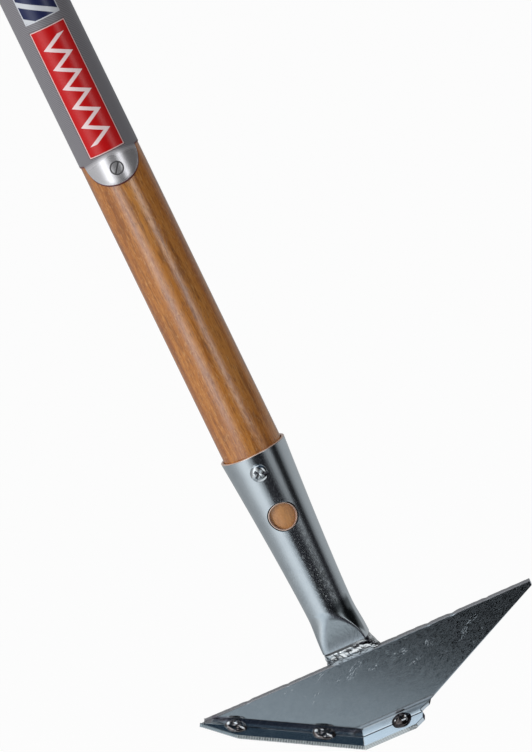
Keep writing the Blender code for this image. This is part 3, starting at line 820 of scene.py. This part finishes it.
class Nodes:
    """One node tree."""

    def __init__(self, tree):
        self.tree = tree

    def node(self, kind, values, **settings):
        """Adds a shader node, sets it up, then gives its sockets values or links."""
        node = self.tree.nodes.new("ShaderNode" + kind)
        for name, setting in settings.items():
            setattr(node, name, setting)
        for key, value in values.items():
            self.feed(node.inputs[key], value)
        return node

    def feed(self, socket, value):
        """Gives a socket a value, or a link where the value comes from a node."""
        value = value.socket if isinstance(value, Value) else value
        if isinstance(value, bpy.types.NodeSocket):
            self.tree.links.new(value, socket)
        else:
            socket.default_value = value

    def shown(self):
        """1 for the rays that the camera sends, straight, in gloss or through glass, else 0."""
        rays = self.node("LightPath", {})
        names = ("Is Camera Ray", "Is Glossy Ray", "Is Transmission Ray")
        straight, gloss, glass = (Value(self, rays.outputs[name]) for name in names)
        return straight.most(gloss).most(glass)

    def blended(self, amount, first, second):
        """From the first shader to the second by an amount."""
        values = {0: amount, 1: first.outputs[0], 2: second.outputs[0]}
        return self.node("MixShader", values)


class Paint(Nodes):
    """One material's nodes and its colour so far. Distances in its expressions are in millimetres."""

    def __init__(self, name, **constants):
        self.material = bpy.data.materials.new(name)
        self.material.use_nodes = True
        super().__init__(self.material.node_tree)
        self.shader = self.tree.nodes["Principled BSDF"]
        self.colour = None
        for name, value in constants.items():
            self.shader.inputs[name.replace("_", " ")].default_value = value
        place = self.node("TexCoord", {}).outputs["Object"]
        scale = self.node("VectorMath", {0: place, "Scale": MM}, operation="SCALE")
        self.place = scale.outputs[0]
        split = self.node("SeparateXYZ", {0: self.place})
        self.x, self.y, self.z = (Value(self, split.outputs[i]) for i in range(3))

    def ramp(self, value, stops):
        """A colour by a number, from positions and colours in order."""
        node = self.node("ValToRGB", {0: value})
        elements = node.color_ramp.elements
        elements.remove(elements[-1])
        for number, (position, colour) in enumerate(stops):
            element = elements[0] if number == 0 else elements.new(position)
            element.position = position
            element.color = (*colour, 1)
        return node.outputs[0]

    def stretched(self, scale, turn=(0, 0, 0), offset=(0, 0, 0)):
        """The place turned and moved, then scaled along each way."""
        values = {0: self.place, "Rotation": turn, "Location": offset}
        moved = self.node("Mapping", values)
        scaled = self.node("Mapping", {0: moved.outputs[0], "Scale": scale})
        return scaled.outputs[0]

    def noise(self, scale, detail=2.0, roughness=0.5, distortion=0.0, at=None):
        """Smooth noise at the place, or at another vector."""
        values = {"Vector": self.place if at is None else at, "Scale": scale, "Detail": detail}
        values.update({"Roughness": roughness, "Distortion": distortion})
        return Value(self, self.node("TexNoise", values).outputs[0])

    def cells(self, scale):
        """Distance to the nearest of points strewn evenly."""
        values = {"Vector": self.place, "Scale": scale}
        return Value(self, self.node("TexVoronoi", values).outputs["Distance"])

    def vector(self, x, y, z):
        """A place from three numbers."""
        return self.node("CombineXYZ", {0: x, 1: y, 2: z}).outputs[0]

    def along(self, way, origin):
        """How far the place lies along a direction from an origin, both given in metres."""
        start = tuple(-MM * float(v) for v in origin)
        moved = self.node("VectorMath", {0: self.place, 1: start}, operation="ADD")
        values = {0: moved.outputs[0], 1: tuple(float(v) for v in way)}
        node = self.node("VectorMath", values, operation="DOT_PRODUCT")
        return Value(self, node.outputs["Value"])

    def on_band(self, side):
        """How far the place lies along a folded band and down it, from the fold corner."""
        return [self.along(way, CORNER) for way in band_directions(side)[:2]]

    def mix(self, amount, first, second):
        """From the first colour to the second by an amount."""
        first, second = ((*c, 1) if isinstance(c, tuple) else c for c in (first, second))
        values = {"Factor": amount, 6: first, 7: second}
        return self.node("Mix", values, data_type="RGBA").outputs[2]

    def cover(self, amount, colour):
        """Lays a colour over the one so far by an amount."""
        self.colour = self.mix(amount, self.colour, colour)

    def bump(self, height, strength, distance):
        """A normal from a height field; the distance is the real height, in metres, of 1."""
        values = {"Height": height, "Strength": strength, "Distance": distance}
        return self.node("Bump", values).outputs[0]

    def show(self, shader):
        """Makes a node's output the material's surface."""
        self.feed(self.tree.nodes["Material Output"].inputs["Surface"], shader.outputs[0])
        return self.material

    def done(self, **links):
        """Feeds the colour and the named sockets to the material's own shader."""
        for name, value in {"Base_Color": self.colour, **links}.items():
            self.feed(self.shader.inputs[name.replace("_", " ")], value)
        return self.material


def rotated(u, v, degrees):
    """Two numbers turned as a pair by an angle."""
    c, s = math.cos(math.radians(degrees)), math.sin(math.radians(degrees))
    return u * c - v * s, u * s + v * c


# Finishes


def lacquered_wood():
    """Tan to brown hardwood: long grain bands, fine pores, short pale flecks, clear lacquer."""
    paint = Paint("lacquered_wood", IOR=2.0)

    def streaks(pace, offset, *noise):
        """Noise drawn out along the stick, slower than across it by the pace."""
        return paint.noise(*noise, at=paint.stretched((1, 1, pace), offset=offset))

    broad = streaks(0.035, (0, 0, 0), 0.085, 3, 0.55, 0.4)
    bands = streaks(0.035, (0, 0, 0), 0.34, 4, 0.6, 0.6)
    fine = streaks(0.05, (7, 3, 1), 1.5, 3, 0.65)
    brown = streaks(0.11, (3, 6, 2), 0.30, 3, 0.6, 0.5)
    dark = streaks(0.12, (2, 9, 5), 2.4, 2, 0.6).above(0.58, 0.10)
    pale = streaks(0.22, (5, 1, 8), 1.9, 2, 0.6).above(0.62, 0.07)
    tones = (
        (0.38, (0.220, 0.064, 0.008)),
        (0.46, (0.340, 0.112, 0.017)),
        (0.53, (0.430, 0.158, 0.028)),
        (0.62, (0.530, 0.225, 0.054)),
    )
    paint.colour = paint.ramp(broad * 0.45 + bands * 0.35 + fine * 0.20, tones)
    paint.cover(brown.above(0.58, 0.12) * 0.6, (0.170, 0.050, 0.010))
    paint.cover(dark * 0.5, (0.130, 0.036, 0.006))
    paint.cover(pale * 0.4, (0.620, 0.340, 0.130))
    # bare, rougher wood inside the socket, painted paler to offset the shade inside the tube, and
    # lacquer that sinks unevenly into the grain outside
    inside = 1 - paint.z.above(MM * MOUTH_Z - 2, 1)
    paint.cover(inside * 0.35, (0.640, 0.340, 0.130))
    sunk = streaks(0.45, (8, 2, 4), 1.8, 2, 0.6)
    height = bands * 0.3 + fine * 0.5 - dark * 0.5 + pale * 0.2 + sunk
    rough = 0.10 + fine * 0.08 + dark * 0.1 + inside * 0.3
    return paint.done(Roughness=rough, Normal=paint.bump(height, 0.25, 0.00010))


def label_foil():
    """Printed metal foil: grey with a fine slanting hatch, a red panel, a bare silver tongue.

    Arc is the distance round the stick from the label's front, height is above its lowest point.
    """
    paint = Paint("label_foil", IOR=1.36, Coat_Roughness=0.12, Coat_IOR=1.45)
    radius = MM * (HANDLE_RADIUS + LABEL_GAP + LABEL_THICKNESS)
    angle = paint.x.math("ARCTAN2", -paint.y) - LABEL_TURN
    arc = angle * radius
    height = paint.z - MM * LABEL_LOW
    # the printed grey field fades into the bare tongue
    field = (height + abs(arc) * 0.2).above(14.9, 2.4)
    lines = ((arc * 0.72 + height * 0.72) * 6.0).math("SINE") * 0.5 + 0.5
    grey = paint.mix(lines, (0.165, 0.157, 0.168), (0.240, 0.228, 0.243))
    paint.colour = paint.mix(field, (0.800, 0.765, 0.780), grey)

    def panel(half_width, middle, half, soft=0.12):
        """1 inside a rectangle on the label's front."""
        return arc.within(0, half_width, soft) * height.within(middle, half, soft)

    # red panel with a pale keyline and a dark line round it, and a pale zigzag along it
    line = panel(9.15, 46.4, 31.1, 0.15)
    outer = panel(8.80, 46.4, 30.7)
    inner = panel(8.35, 46.4, 30.25)
    wave = abs(((height + 2.9) / 9.4).fraction() - 0.5) * 4 - 1
    zigzag = (arc - wave * 4.4).within(0, 1.75, 0.25) * height.within(46.45, 25.85, 0.2)
    paint.cover(line * 0.6, (0.045, 0.022, 0.024))
    paint.cover(outer, (0.74, 0.50, 0.48))
    paint.cover(inner, (0.47, 0.0, 0.001))
    paint.cover(zigzag, (0.76, 0.60, 0.60))
    # above it a dark blue panel with pale slanting bars
    blue_edge = panel(8.80, 106.1, 25.3)
    blue = panel(8.35, 106.1, 24.8)
    bars = ((height + arc * 0.6) / 8.2).fraction().within(0.5, 0.16, 0.03)
    paint.cover(blue_edge, (0.62, 0.63, 0.66))
    paint.cover(blue, (0.010, 0.014, 0.060))
    paint.cover(blue * bars, (0.56, 0.57, 0.60))
    # printed slotted screw head on the tongue
    u, v = arc - 0.6, height - 7.5
    spot = (u * u + v * v).root()
    slot = (u * 0.80 - v * 0.60).within(0, 0.40, 0.15) * spot.within(0, 2.9, 0.15)
    ring = spot.within(2.9, 0.34, 0.15)
    dots = paint.noise(3.2, 1).above(0.5, 0.2)
    paint.cover(spot.within(0, 2.9, 0.15) * (0.15 + dots * 0.3), (0.20, 0.20, 0.20))
    ink = ring.most(slot)
    paint.cover(ink * 0.92, (0.015, 0.015, 0.017))
    # thin dark outline along the tongue's edge
    share = (abs(angle) / LABEL_HALF_ANGLE).least(1)
    edge = height - MM * LABEL_DROP * (1 - (1 - share * share).root())
    outline = edge.within(0, 0.75, 0.3)
    paint.cover(outline, (0.110, 0.030, 0.028))
    inked = inner.most(zigzag).most(blue)
    metal = (0.80 - field * 0.60) * (1 - inked.most(ink).most(outline) * 0.9)
    speck = paint.noise(5.0, 2)
    rough = 0.23 + field * 0.20 - inked * 0.1 + speck * 0.06
    return paint.done(
        Metallic=metal.clipped(),
        Roughness=rough,
        Coat_Weight=(inked * 0.45 + field * 0.15).clipped(),
        Normal=paint.bump(speck, 0.1, 0.00002),
    )


def zinc(name, light, dark, grain, rough, speckle):
    """Zinc plate on steel: two blue-grey tones, drawn or rolled marks, fine speckle."""
    paint = Paint(name, Metallic=1.0, IOR=1.8)
    cloud = paint.noise(0.16, 4, 0.6, 0.5)
    marks = paint.noise(2.6, 3, 0.6, at=paint.stretched(grain))
    fine = paint.noise(2.4, 3, 0.65)
    tone = (cloud * 0.5 + marks * 0.3 + fine * 0.2).above(0.5, 0.35)
    paint.colour = paint.mix(tone, dark, light)
    roughness = rough * (0.5 + cloud * 0.5 + fine * 0.5)
    return paint, roughness, (fine + marks) * speckle, fine


def socket_zinc():
    """Bright plated tube, marks drawn along it, its lower half knocked uneven by the pressing."""
    paint, rough, height, _ = zinc(
        "bright_zinc", (0.670, 0.710, 0.735), (0.590, 0.630, 0.665), (1, 1, 0.05), 0.15, 0.4
    )
    around = paint.x.math("ARCTAN2", -paint.y)
    front = around.within(0.36, 0.34, 0.25) * paint.z.within(100, 34, 8)
    low = 1 - paint.z.above(104, 50)
    scuff = paint.noise(1.15, 3, 0.7, at=paint.stretched((1, 1, 0.45), (0.5, 0.3, 0.2)))
    stain = paint.noise(0.9, 4, 0.7, at=paint.stretched((1, 1, 0.6)))
    painted_dark_mottle = stain.above(0.47, 0.16) * front * low
    worn = scuff.above(0.62, 0.10) * (0.3 + low * 0.7) * front
    # painted shade: dark mottled patches low on the front that darken the tube's reflection there
    paint.cover(painted_dark_mottle * 0.72, (0.10, 0.11, 0.11))
    paint.cover(worn * 0.5, (0.60, 0.64, 0.60))
    # painted shade in the lee outside the right ridge of the pressed flat, and painted shade on the
    # left side, which is also rougher
    rise = paint.z - MM * FOOT_Z
    lee = (around - (1.24 - rise * 0.055)).above(0, 0.06) * (1 - around.above(1.25, 0.15))
    lee = lee * rise.within(12, 9, 3)
    paint.cover(lee * 0.85, (0.10, 0.115, 0.12))
    dull_painted_shade = around.within(-1.25, 0.30, 0.25) * (1 - rise.above(12, 9))
    paint.cover(dull_painted_shade * 0.6, (0.26, 0.29, 0.31))
    # cut edges at the mouth and round the sight hole, bare steel, with the wood's warm reflection
    # painted on them in pale pink
    side, up, out, origin = wall_frame(SIGHT_HOLE_TURN, SIGHT_HOLE_DOWN)
    u, v, w = paint.along(side, origin), paint.along(up, origin), paint.along(out, origin)
    hole = 1 - (u * u + v * v).root().above(MM * SIGHT_HOLE_RADIUS + 0.16, 0.12)
    cut = (hole * w.above(-3, 0.5)).most(paint.z.above(MM * MOUTH_Z - 0.22, 0.15))
    paint.cover(cut, (0.80, 0.60, 0.50))
    return paint.done(
        Metallic=1 - worn * 0.25 - cut * 0.4,
        Roughness=rough + painted_dark_mottle * 0.10 + worn * 0.2 + cut * 0.2 + dull_painted_shade * 0.3,
        Normal=paint.bump(height + stain * (0.4 + low * 0.9), 0.45, 0.00006),
    )


def blade_zinc():
    """Dull plated sheet: cloudy blue-grey, scratch groups, pale knocks along its sheared edge."""
    paint, rough, height, fine = zinc(
        "blade_zinc", (0.445, 0.490, 0.530), (0.385, 0.425, 0.465), (0.12, 1, 1), 0.055, 0.02
    )
    across = paint.along(ACROSS, BLADE_TOP)
    down = paint.along(DOWN, BLADE_TOP)
    marks = paint.x * 0
    # scratch groups: place across and down, half lengths, and the way the scratches run
    groups = (
        (-2.0, 6.0, 7.0, 2.4, 35), (-10, 7.2, 4.0, 1.3, 20), (-18, 3.0, 5.0, 1.2, 30),
        (-33, 2.6, 5.0, 1.2, 24), (5.6, 9.0, 2.8, 1.5, 8), (20.0, 7.4, 6.0, 1.7, 12),
        (34.5, 8.5, 2.0, 2.8, 62), (24.5, 14.2, 4.0, 1.4, 20), (50, 11, 4.5, 1.6, 40),
        (56, 6.0, 4.0, 1.4, 15), (-24, 11, 4.5, 1.0, 38),
    )
    for centre, depth, length, width, turn in groups:
        u, v = rotated(across - centre, down - depth, turn)
        group = (1 - (u / length) * (u / length) - (v / width) * (v / width)).clipped()
        streak = paint.noise(1.0, 3, 0.7, at=paint.vector(u * 0.30, v * 2.4, centre))
        marks = marks.most(group.above(0.15, 0.5) * streak.above(0.60, 0.06))
    specks = (1 - paint.cells(0.22).above(0.12, 0.06)) * fine.above(0.52, 0.1)
    marks = marks.most(specks * 0.5)
    paint.cover(marks * 0.6, (0.72, 0.76, 0.78))
    # rust stained sheared edge
    edge = 1 - down.above(0.46, 0.12)
    paint.cover(edge * 0.8, (0.185, 0.170, 0.175))
    # towards the lower fold the plate already rises a little: height = rise * share of the way ** 3
    past = paint.along(DOWN, CORNER)
    lower = (past / 2.8 + 1).clipped()
    rise = lower * lower * lower * 18
    # painted shade in the left bend: a dark colour that stands in for the bend's dark reflection
    way = paint.along(in_plate(*LEFT_SIDE[1]), CORNER)
    bend = way.above(-0.1, 0.8) * (1 - way.above(1.3, 0.5))
    bend = bend * (1 - across.above(MM * FOLD_CORNER - 0.4, 0.3))
    paint.cover(bend * 0.75, (0.125, 0.103, 0.135))
    # a painted pale highlight on the plate above the lower bend, and the folded bands are a little
    # duller
    folded = way.above(0.3, 0.3).most(past.above(0.3, 0.3))
    right = across.above(MM * FOLD_CORNER - 0.2, 0.3)
    painted_pale_sheen = lower * (1 - past.above(-1.05, 0.8)) * right
    paint.cover(painted_pale_sheen * 0.4, (0.74, 0.84, 0.93))
    # painted shade on the bend itself, which fades down the band and is stronger near its right end
    dull_painted_shade = past.above(-1.0, 0.9) * right
    far = across.above(MM * FOLD_CORNER + 20, 7)
    paint.cover(dull_painted_shade * (1 - past / 1.9).clipped() * 0.62, (0.15, 0.17, 0.19))
    paint.cover(dull_painted_shade * (1 - past.above(1.3, 0.6)) * far * 0.6, (0.10, 0.115, 0.13))
    return paint.done(
        Metallic=(1 - edge * 0.5 - marks * 0.35 - painted_pale_sheen * 0.5).clipped(),
        Roughness=rough + marks * 0.25 + edge * 0.2 + folded * 0.07,
        Normal=paint.bump(height - marks * 0.6 + rise, 0.35, 0.00004),
    )


def strip_zinc(name, light, dark, side, ticks, stain):
    """Plated strip with fine marks along it, a pale ground foot, and dark ticks across the foot:
    painted shade between the teeth on the serrated strip, a faint hatch on the plain one.
    """
    paint, rough, height, _ = zinc(name, light, dark, (0.1, 1, 1), 0.20, 0.3)
    place, down = paint.on_band(side)
    ground = down.above(MM * STRIP_FOOT - 0.5, 0.15)
    tick = (place / (MM * TICK_PITCH)).fraction().within(0.5, 0.27, 0.15)
    paint.cover(ground, (0.560, 0.600, 0.610))
    mottle = paint.noise(0.9, 3, 0.6)
    far = place.above(MM * (FLANGE_END - FOLD_CORNER) - 8, 4)
    paint.cover(ground * far * mottle.above(0.47, 0.08) * stain, (0.10, 0.10, 0.10))
    lip = (1 - down.above(MM * STRIP_TOP + 0.26, 0.12)) * (1 - place.above(44, 6)) * (1 - stain)
    paint.cover(lip * 0.8, (0.22, 0.26, 0.31))
    uneven = paint.noise(1.1, 1).above(0.5, 0.12)
    # dark ticks: painted shade of the tooth gaps on the serrated strip, a faint hatch on the plain
    # strip
    paint.cover(ground * tick * (0.55 + uneven * 0.45) * ticks, (0.03, 0.035, 0.04))
    return paint.done(
        Metallic=1 - ground * 0.5 - lip * 0.7,
        Roughness=rough + ground * 0.15,
        Normal=paint.bump(height, 0.3, 0.00004),
    )


def weld_metal():
    """Bright rippled bead with darker scale in its hollows, and painted shade along its neck under the
    socket's end.
    """
    paint, rough, height, _ = zinc(
        "weld_metal", (0.920, 0.930, 0.940), (0.700, 0.710, 0.720), (1, 1, 1), 0.10, 0.5
    )
    scale = paint.noise(0.68, 2, 0.5, at=paint.stretched((1.9, 1, 0.5), (0, 0.75, 0)))
    # painted shade along the neck just under the socket's pressed end, half as strong to the right
    neck = paint.z.above(MM * FOOT_Z - 1.2, 0.5)
    dark = (scale.above(0.53, 0.07) * 0.85).most(neck * (1 - paint.x.above(5, 4) * 0.5) * 0.95)
    paint.cover(dark, (0.045, 0.048, 0.05))
    return paint.done(Roughness=rough, Normal=paint.bump(height, 0.5, 0.0001))


def tack_metal(name, side, light, dark, slag, spots):
    """Glossy bead with dark slag in patches, and painted highlights as pale spots.

    A spot is its tack weld's number, place along and down from its middle, half lengths and turn.
    """
    paint, rough, height, fine = zinc(name, light, dark, (1, 1, 1), 0.12, 0.3)
    patch = paint.noise(0.55, 3, 0.6)
    paint.cover(patch.above(0.43, 0.06) * 0.9, slag)
    painted_glint = paint.x * 0
    place, down = paint.on_band(side)
    for number, across, low, length, width, turn in spots:
        middle = MM * TACK_WELDS[number][2] + across
        u, v = rotated(place - middle, down - (MM * SEAM_DOWN + low), -turn)
        u, v = u / length, v / width
        painted_glint = painted_glint.most((1.2 - u * u - v * v).clipped())
    painted_glint = (painted_glint * (0.4 + fine * 1.2)).clipped()
    # painted highlights: pale, less metallic spots on the beads' rims and domes
    paint.cover(painted_glint, (0.88, 0.90, 0.92))
    return paint.done(
        Metallic=1 - painted_glint * 0.8,
        Roughness=rough,
        Normal=paint.bump(height, 0.6, 0.0001),
    )


def screw_zinc():
    """Plain plated steel."""
    paint, rough, height, _ = zinc(
        "zinc_screw", (0.690, 0.705, 0.715), (0.520, 0.540, 0.560), (1, 1, 1), 0.18, 0.6
    )
    return paint.done(Roughness=rough, Normal=paint.bump(height, 0.35, 0.00005))


# Studio


def tent_pattern():
    """The light tent's glow by its azimuth from the camera and its height.

    A soft box on the left, a dark gap in front, a weaker strip right of it, a dark gap, then
    pale walls round the back, in one set for low down, which the socket mirrors, and one for
    higher up, which the handle mirrors. At the bottom there is a table that darkens to the
    right, with a pale board behind its left part, and on top a cool ceiling light.
    """
    paint = Paint("tent_cloth")
    x, y, z = (v / MM for v in (paint.x, paint.y, paint.z))
    azimuth = x.math("ARCTAN2", -y) * (180 / math.pi) - 10
    # degrees round from the camera and the glow there, low down and higher up
    low = (
        (-180, 0.42), (-120, 0.38), (-100, 0.42), (-85, 0.50), (-71, 0.72), (-58, 0.93),
        (-42, 0.99), (-33, 0.74), (-24, 0.30), (-13, 0.03), (20, 0.008), (30, 0.16),
        (38, 0.36), (49, 0.42), (56, 0.18), (62, 0.02), (78, 0.012), (88, 0.22),
        (102, 0.40), (122, 0.46), (180, 0.42),
    )
    high = (
        (-180, 0.35), (-72, 0.38), (-58, 0.45), (-49, 0.80), (-40, 1.80), (-32, 2.00),
        (-24, 1.45), (-12, 0.35), (-2, 0.03), (16, 0.03), (23, 0.70), (29, 1.75),
        (35, 1.50), (43, 0.30), (51, 0.02), (95, 0.02), (112, 0.12), (132, 0.35), (180, 0.35),
    )
    low, high = (
        paint.ramp(azimuth / 360 + 0.5, [(a / 360 + 0.5, (0.95 * g, g, 1.03 * g)) for a, g in steps])
        for steps in (low, high)
    )
    paint.colour = paint.mix(z.above(-0.03, 0.04), low, high)
    upper = z.above(0.46, 0.15) * azimuth.within(62, 52, 16)
    paint.cover(upper, (0.030, 0.054, 0.084))
    # the board above the table, then the table
    under = 1 - z.above(-0.205, 0.03)
    paint.cover(under, (0.058, 0.057, 0.070))
    board = under * (1 - x.above(-0.085, 0.03)) * ((z + 0.60) / 0.40).clipped()
    paint.cover(board, (0.86, 0.96, 1.03))
    slant = x + (z.least(-0.54) + 0.565) * 1.1
    # place to the right and the table's shade there
    shades = (
        (-0.25, 0.52), (-0.215, 0.48), (-0.199, 0.35), (-0.185, 0.19), (-0.170, 0.085),
        (-0.156, 0.025), (-0.140, 0.0),
    )
    shades = [((place + 0.26) / 0.2, (0.89 * g, g, 1.06 * g)) for place, g in shades]
    table = paint.ramp((slant + 0.26) / 0.2, shades)
    paint.cover(1 - z.above(-0.50, 0.03), table)
    flat = 1 - z.above(-0.74, 0.01)
    paint.cover(flat * (1 - x.above(-0.08, 0.08)), (0.36, 0.40, 0.43))
    near = 1 - (x * x + y * y).root().above(0.58, 0.06)
    paint.cover(flat * near, (0.92, 0.97, 1.0))
    paint.cover(z.above(2.1, 0.2), (1.15, 1.32, 1.45))
    paint.tree.nodes.remove(paint.shader)
    paint.material.cycles.emission_sampling = "NONE"
    return paint.show(paint.node("Emission", {"Color": paint.colour, "Strength": 1.0}))


def light_tent():
    """A tall cloth tube with flat ends round the tool, seen only in its gloss."""
    grid = turned(TENT_RADIUS, np.array([TENT_LOW, TENT_HIGH])[:, None], full_turn(96))
    tent = ring_surface("light_tent", grid)
    tent.data.materials.append(tent_pattern())
    tent.visible_camera = False
    tent.visible_diffuse = False
    tent.visible_shadow = False
    tent.visible_transmission = False


def floor_and_world():
    """A pale floor well below the tool, which hangs free, and a white world seen behind it."""
    corners = [(x, y, FLOOR_Z) for x, y in ((-60, -60), (60, -60), (60, 60), (-60, 60))]
    floor = new_mesh("floor", corners, [[0, 1, 2, 3]])
    paint = Paint("floor_paper", Base_Color=(0.9, 0.9, 0.9, 1), Roughness=0.9, Specular_IOR_Level=0.0)
    glow = paint.node("Emission", {"Color": (1, 1, 1, 1), "Strength": 1.0})
    floor.data.materials.append(paint.show(paint.blended(paint.shown() * 0.96, paint.shader, glow)))
    world = bpy.data.worlds.new("studio")
    bpy.context.scene.world = world
    world.use_nodes = True
    sky = Nodes(world.node_tree)
    sky.tree.nodes.clear()
    fill = sky.node("Background", {"Color": (0.96, 0.98, 1.0, 1), "Strength": 0.36})
    white = sky.node("Background", {"Color": (1, 1, 1, 1), "Strength": 1.0})
    both = sky.blended(sky.shown(), fill, white)
    sky.node("OutputWorld", {"Surface": both.outputs[0]})


def facing(way):
    """The turn that points a lamp or camera along a direction."""
    return way.to_track_quat("-Z", "Y").to_matrix().to_4x4()


def lamp(name, place, aim, size, energy, colour=(1, 1, 1)):
    """A soft square lamp that lights the tool without showing in its gloss."""
    data = bpy.data.lights.new(name, "AREA")
    data.shape = "SQUARE"
    data.size = size
    data.energy = energy
    data.color = colour
    obj = bpy.data.objects.new(name, data)
    obj.matrix_world = Matrix.Translation(Vector(place)) @ facing(Vector(aim) - Vector(place))
    obj.visible_glossy = False
    obj.visible_camera = False
    bpy.context.scene.collection.objects.link(obj)


def camera():
    """At the photograph's angle: 10 degrees to the right, 10 up, and rolled so the stick leans."""
    data = bpy.data.cameras.new("camera")
    data.lens = LENS
    data.sensor_width = 36.0
    data.clip_end = 200.0
    obj = bpy.data.objects.new("camera", data)
    level = math.cos(CAMERA_RISE)
    side, ahead = math.sin(CAMERA_TURN), -math.cos(CAMERA_TURN)
    way = Vector((side * level, ahead * level, math.sin(CAMERA_RISE)))
    aim = Vector((AIM_ACROSS, 0.0, MOUTH_Z + AIM_ABOVE_MOUTH))
    roll = Matrix.Rotation(CAMERA_ROLL, 4, "Z")
    obj.matrix_world = Matrix.Translation(aim + way * CAMERA_DISTANCE) @ facing(-way) @ roll
    bpy.context.scene.collection.objects.link(obj)
    bpy.context.scene.camera = obj


def build():
    """Every piece with its finish."""
    handle_piece(lacquered_wood())
    label_piece(label_foil())
    socket_piece(socket_zinc())
    screw_piece(screw_zinc())
    weld_piece(weld_metal())
    blade_piece(blade_zinc())
    serrated = strip_zinc("serrated_steel", (0.44, 0.50, 0.53), (0.38, 0.43, 0.46), "left", 0.95, 0)
    plain = strip_zinc("plain_steel", (0.48, 0.53, 0.58), (0.42, 0.47, 0.51), "lower", 0.4, 1)
    top, low = STRIP_TOP - SERRATED_RAISED, serrated_foot()
    strip_piece(
        "serrated_bar", "left", low, top, SERRATED_LIP, "serrated_strip", serrated
    )
    strip_piece(
        "plain_bar", "lower", plain_foot(), STRIP_TOP, BAR_ROUND, "plain_strip", plain
    )
    # painted highlights: on the rims of the left tack welds, then glints on the corner one
    rims = (
        (0, 3.6, -0.4, 0.8, 1.1, 0),
        (0, -2.8, 1.3, 1.6, 0.5, -20),
        (1, 3.6, -0.6, 0.8, 1.0, 0),
        (1, -2.6, 1.3, 1.6, 0.5, -20),
        (1, 1.0, -1.2, 0.9, 0.4, 0),
        (0, 0.4, -0.6, 1.2, 0.4, -20),
    )
    glints = (
        (2, 1.4, 1.1, 1.3, 0.45, 0),
        (2, -2.5, 0.0, 0.5, 0.5, 0),
        (2, 2.6, -0.2, 0.35, 0.6, 0),
    )
    tones = (0.620, 0.620, 0.630), (0.260, 0.255, 0.260), (0.190, 0.160, 0.155)
    bright = tack_metal("tack_metal", "left", *tones, rims)
    tones = (0.250, 0.255, 0.270), (0.060, 0.062, 0.070), (0.070, 0.055, 0.052)
    dark = tack_metal("dark_tack_metal", "lower", *tones, glints)
    for number, row in enumerate(TACK_WELDS):
        tack_piece(number, *row, bright if row[1] == "left" else dark)


def studio():
    """Floor, world, tent and lamps."""
    floor_and_world()
    light_tent()
    lamp("key_lamp", (-1.5, -1.2, 0.9), (0, 0, 0.2), 1.2, 36, (0.97, 0.99, 1.0))
    lamp("fill_lamp", (1.7, -1.0, 0.7), (0, 0, 0.2), 1.2, 4)
    lamp("top_lamp", (0.2, -0.3, 2.6), (0, 0, 0.4), 1.2, 14, (0.95, 0.98, 1.0))
    bpy.context.scene.view_settings.view_transform = "Standard"


build()
studio()
camera()
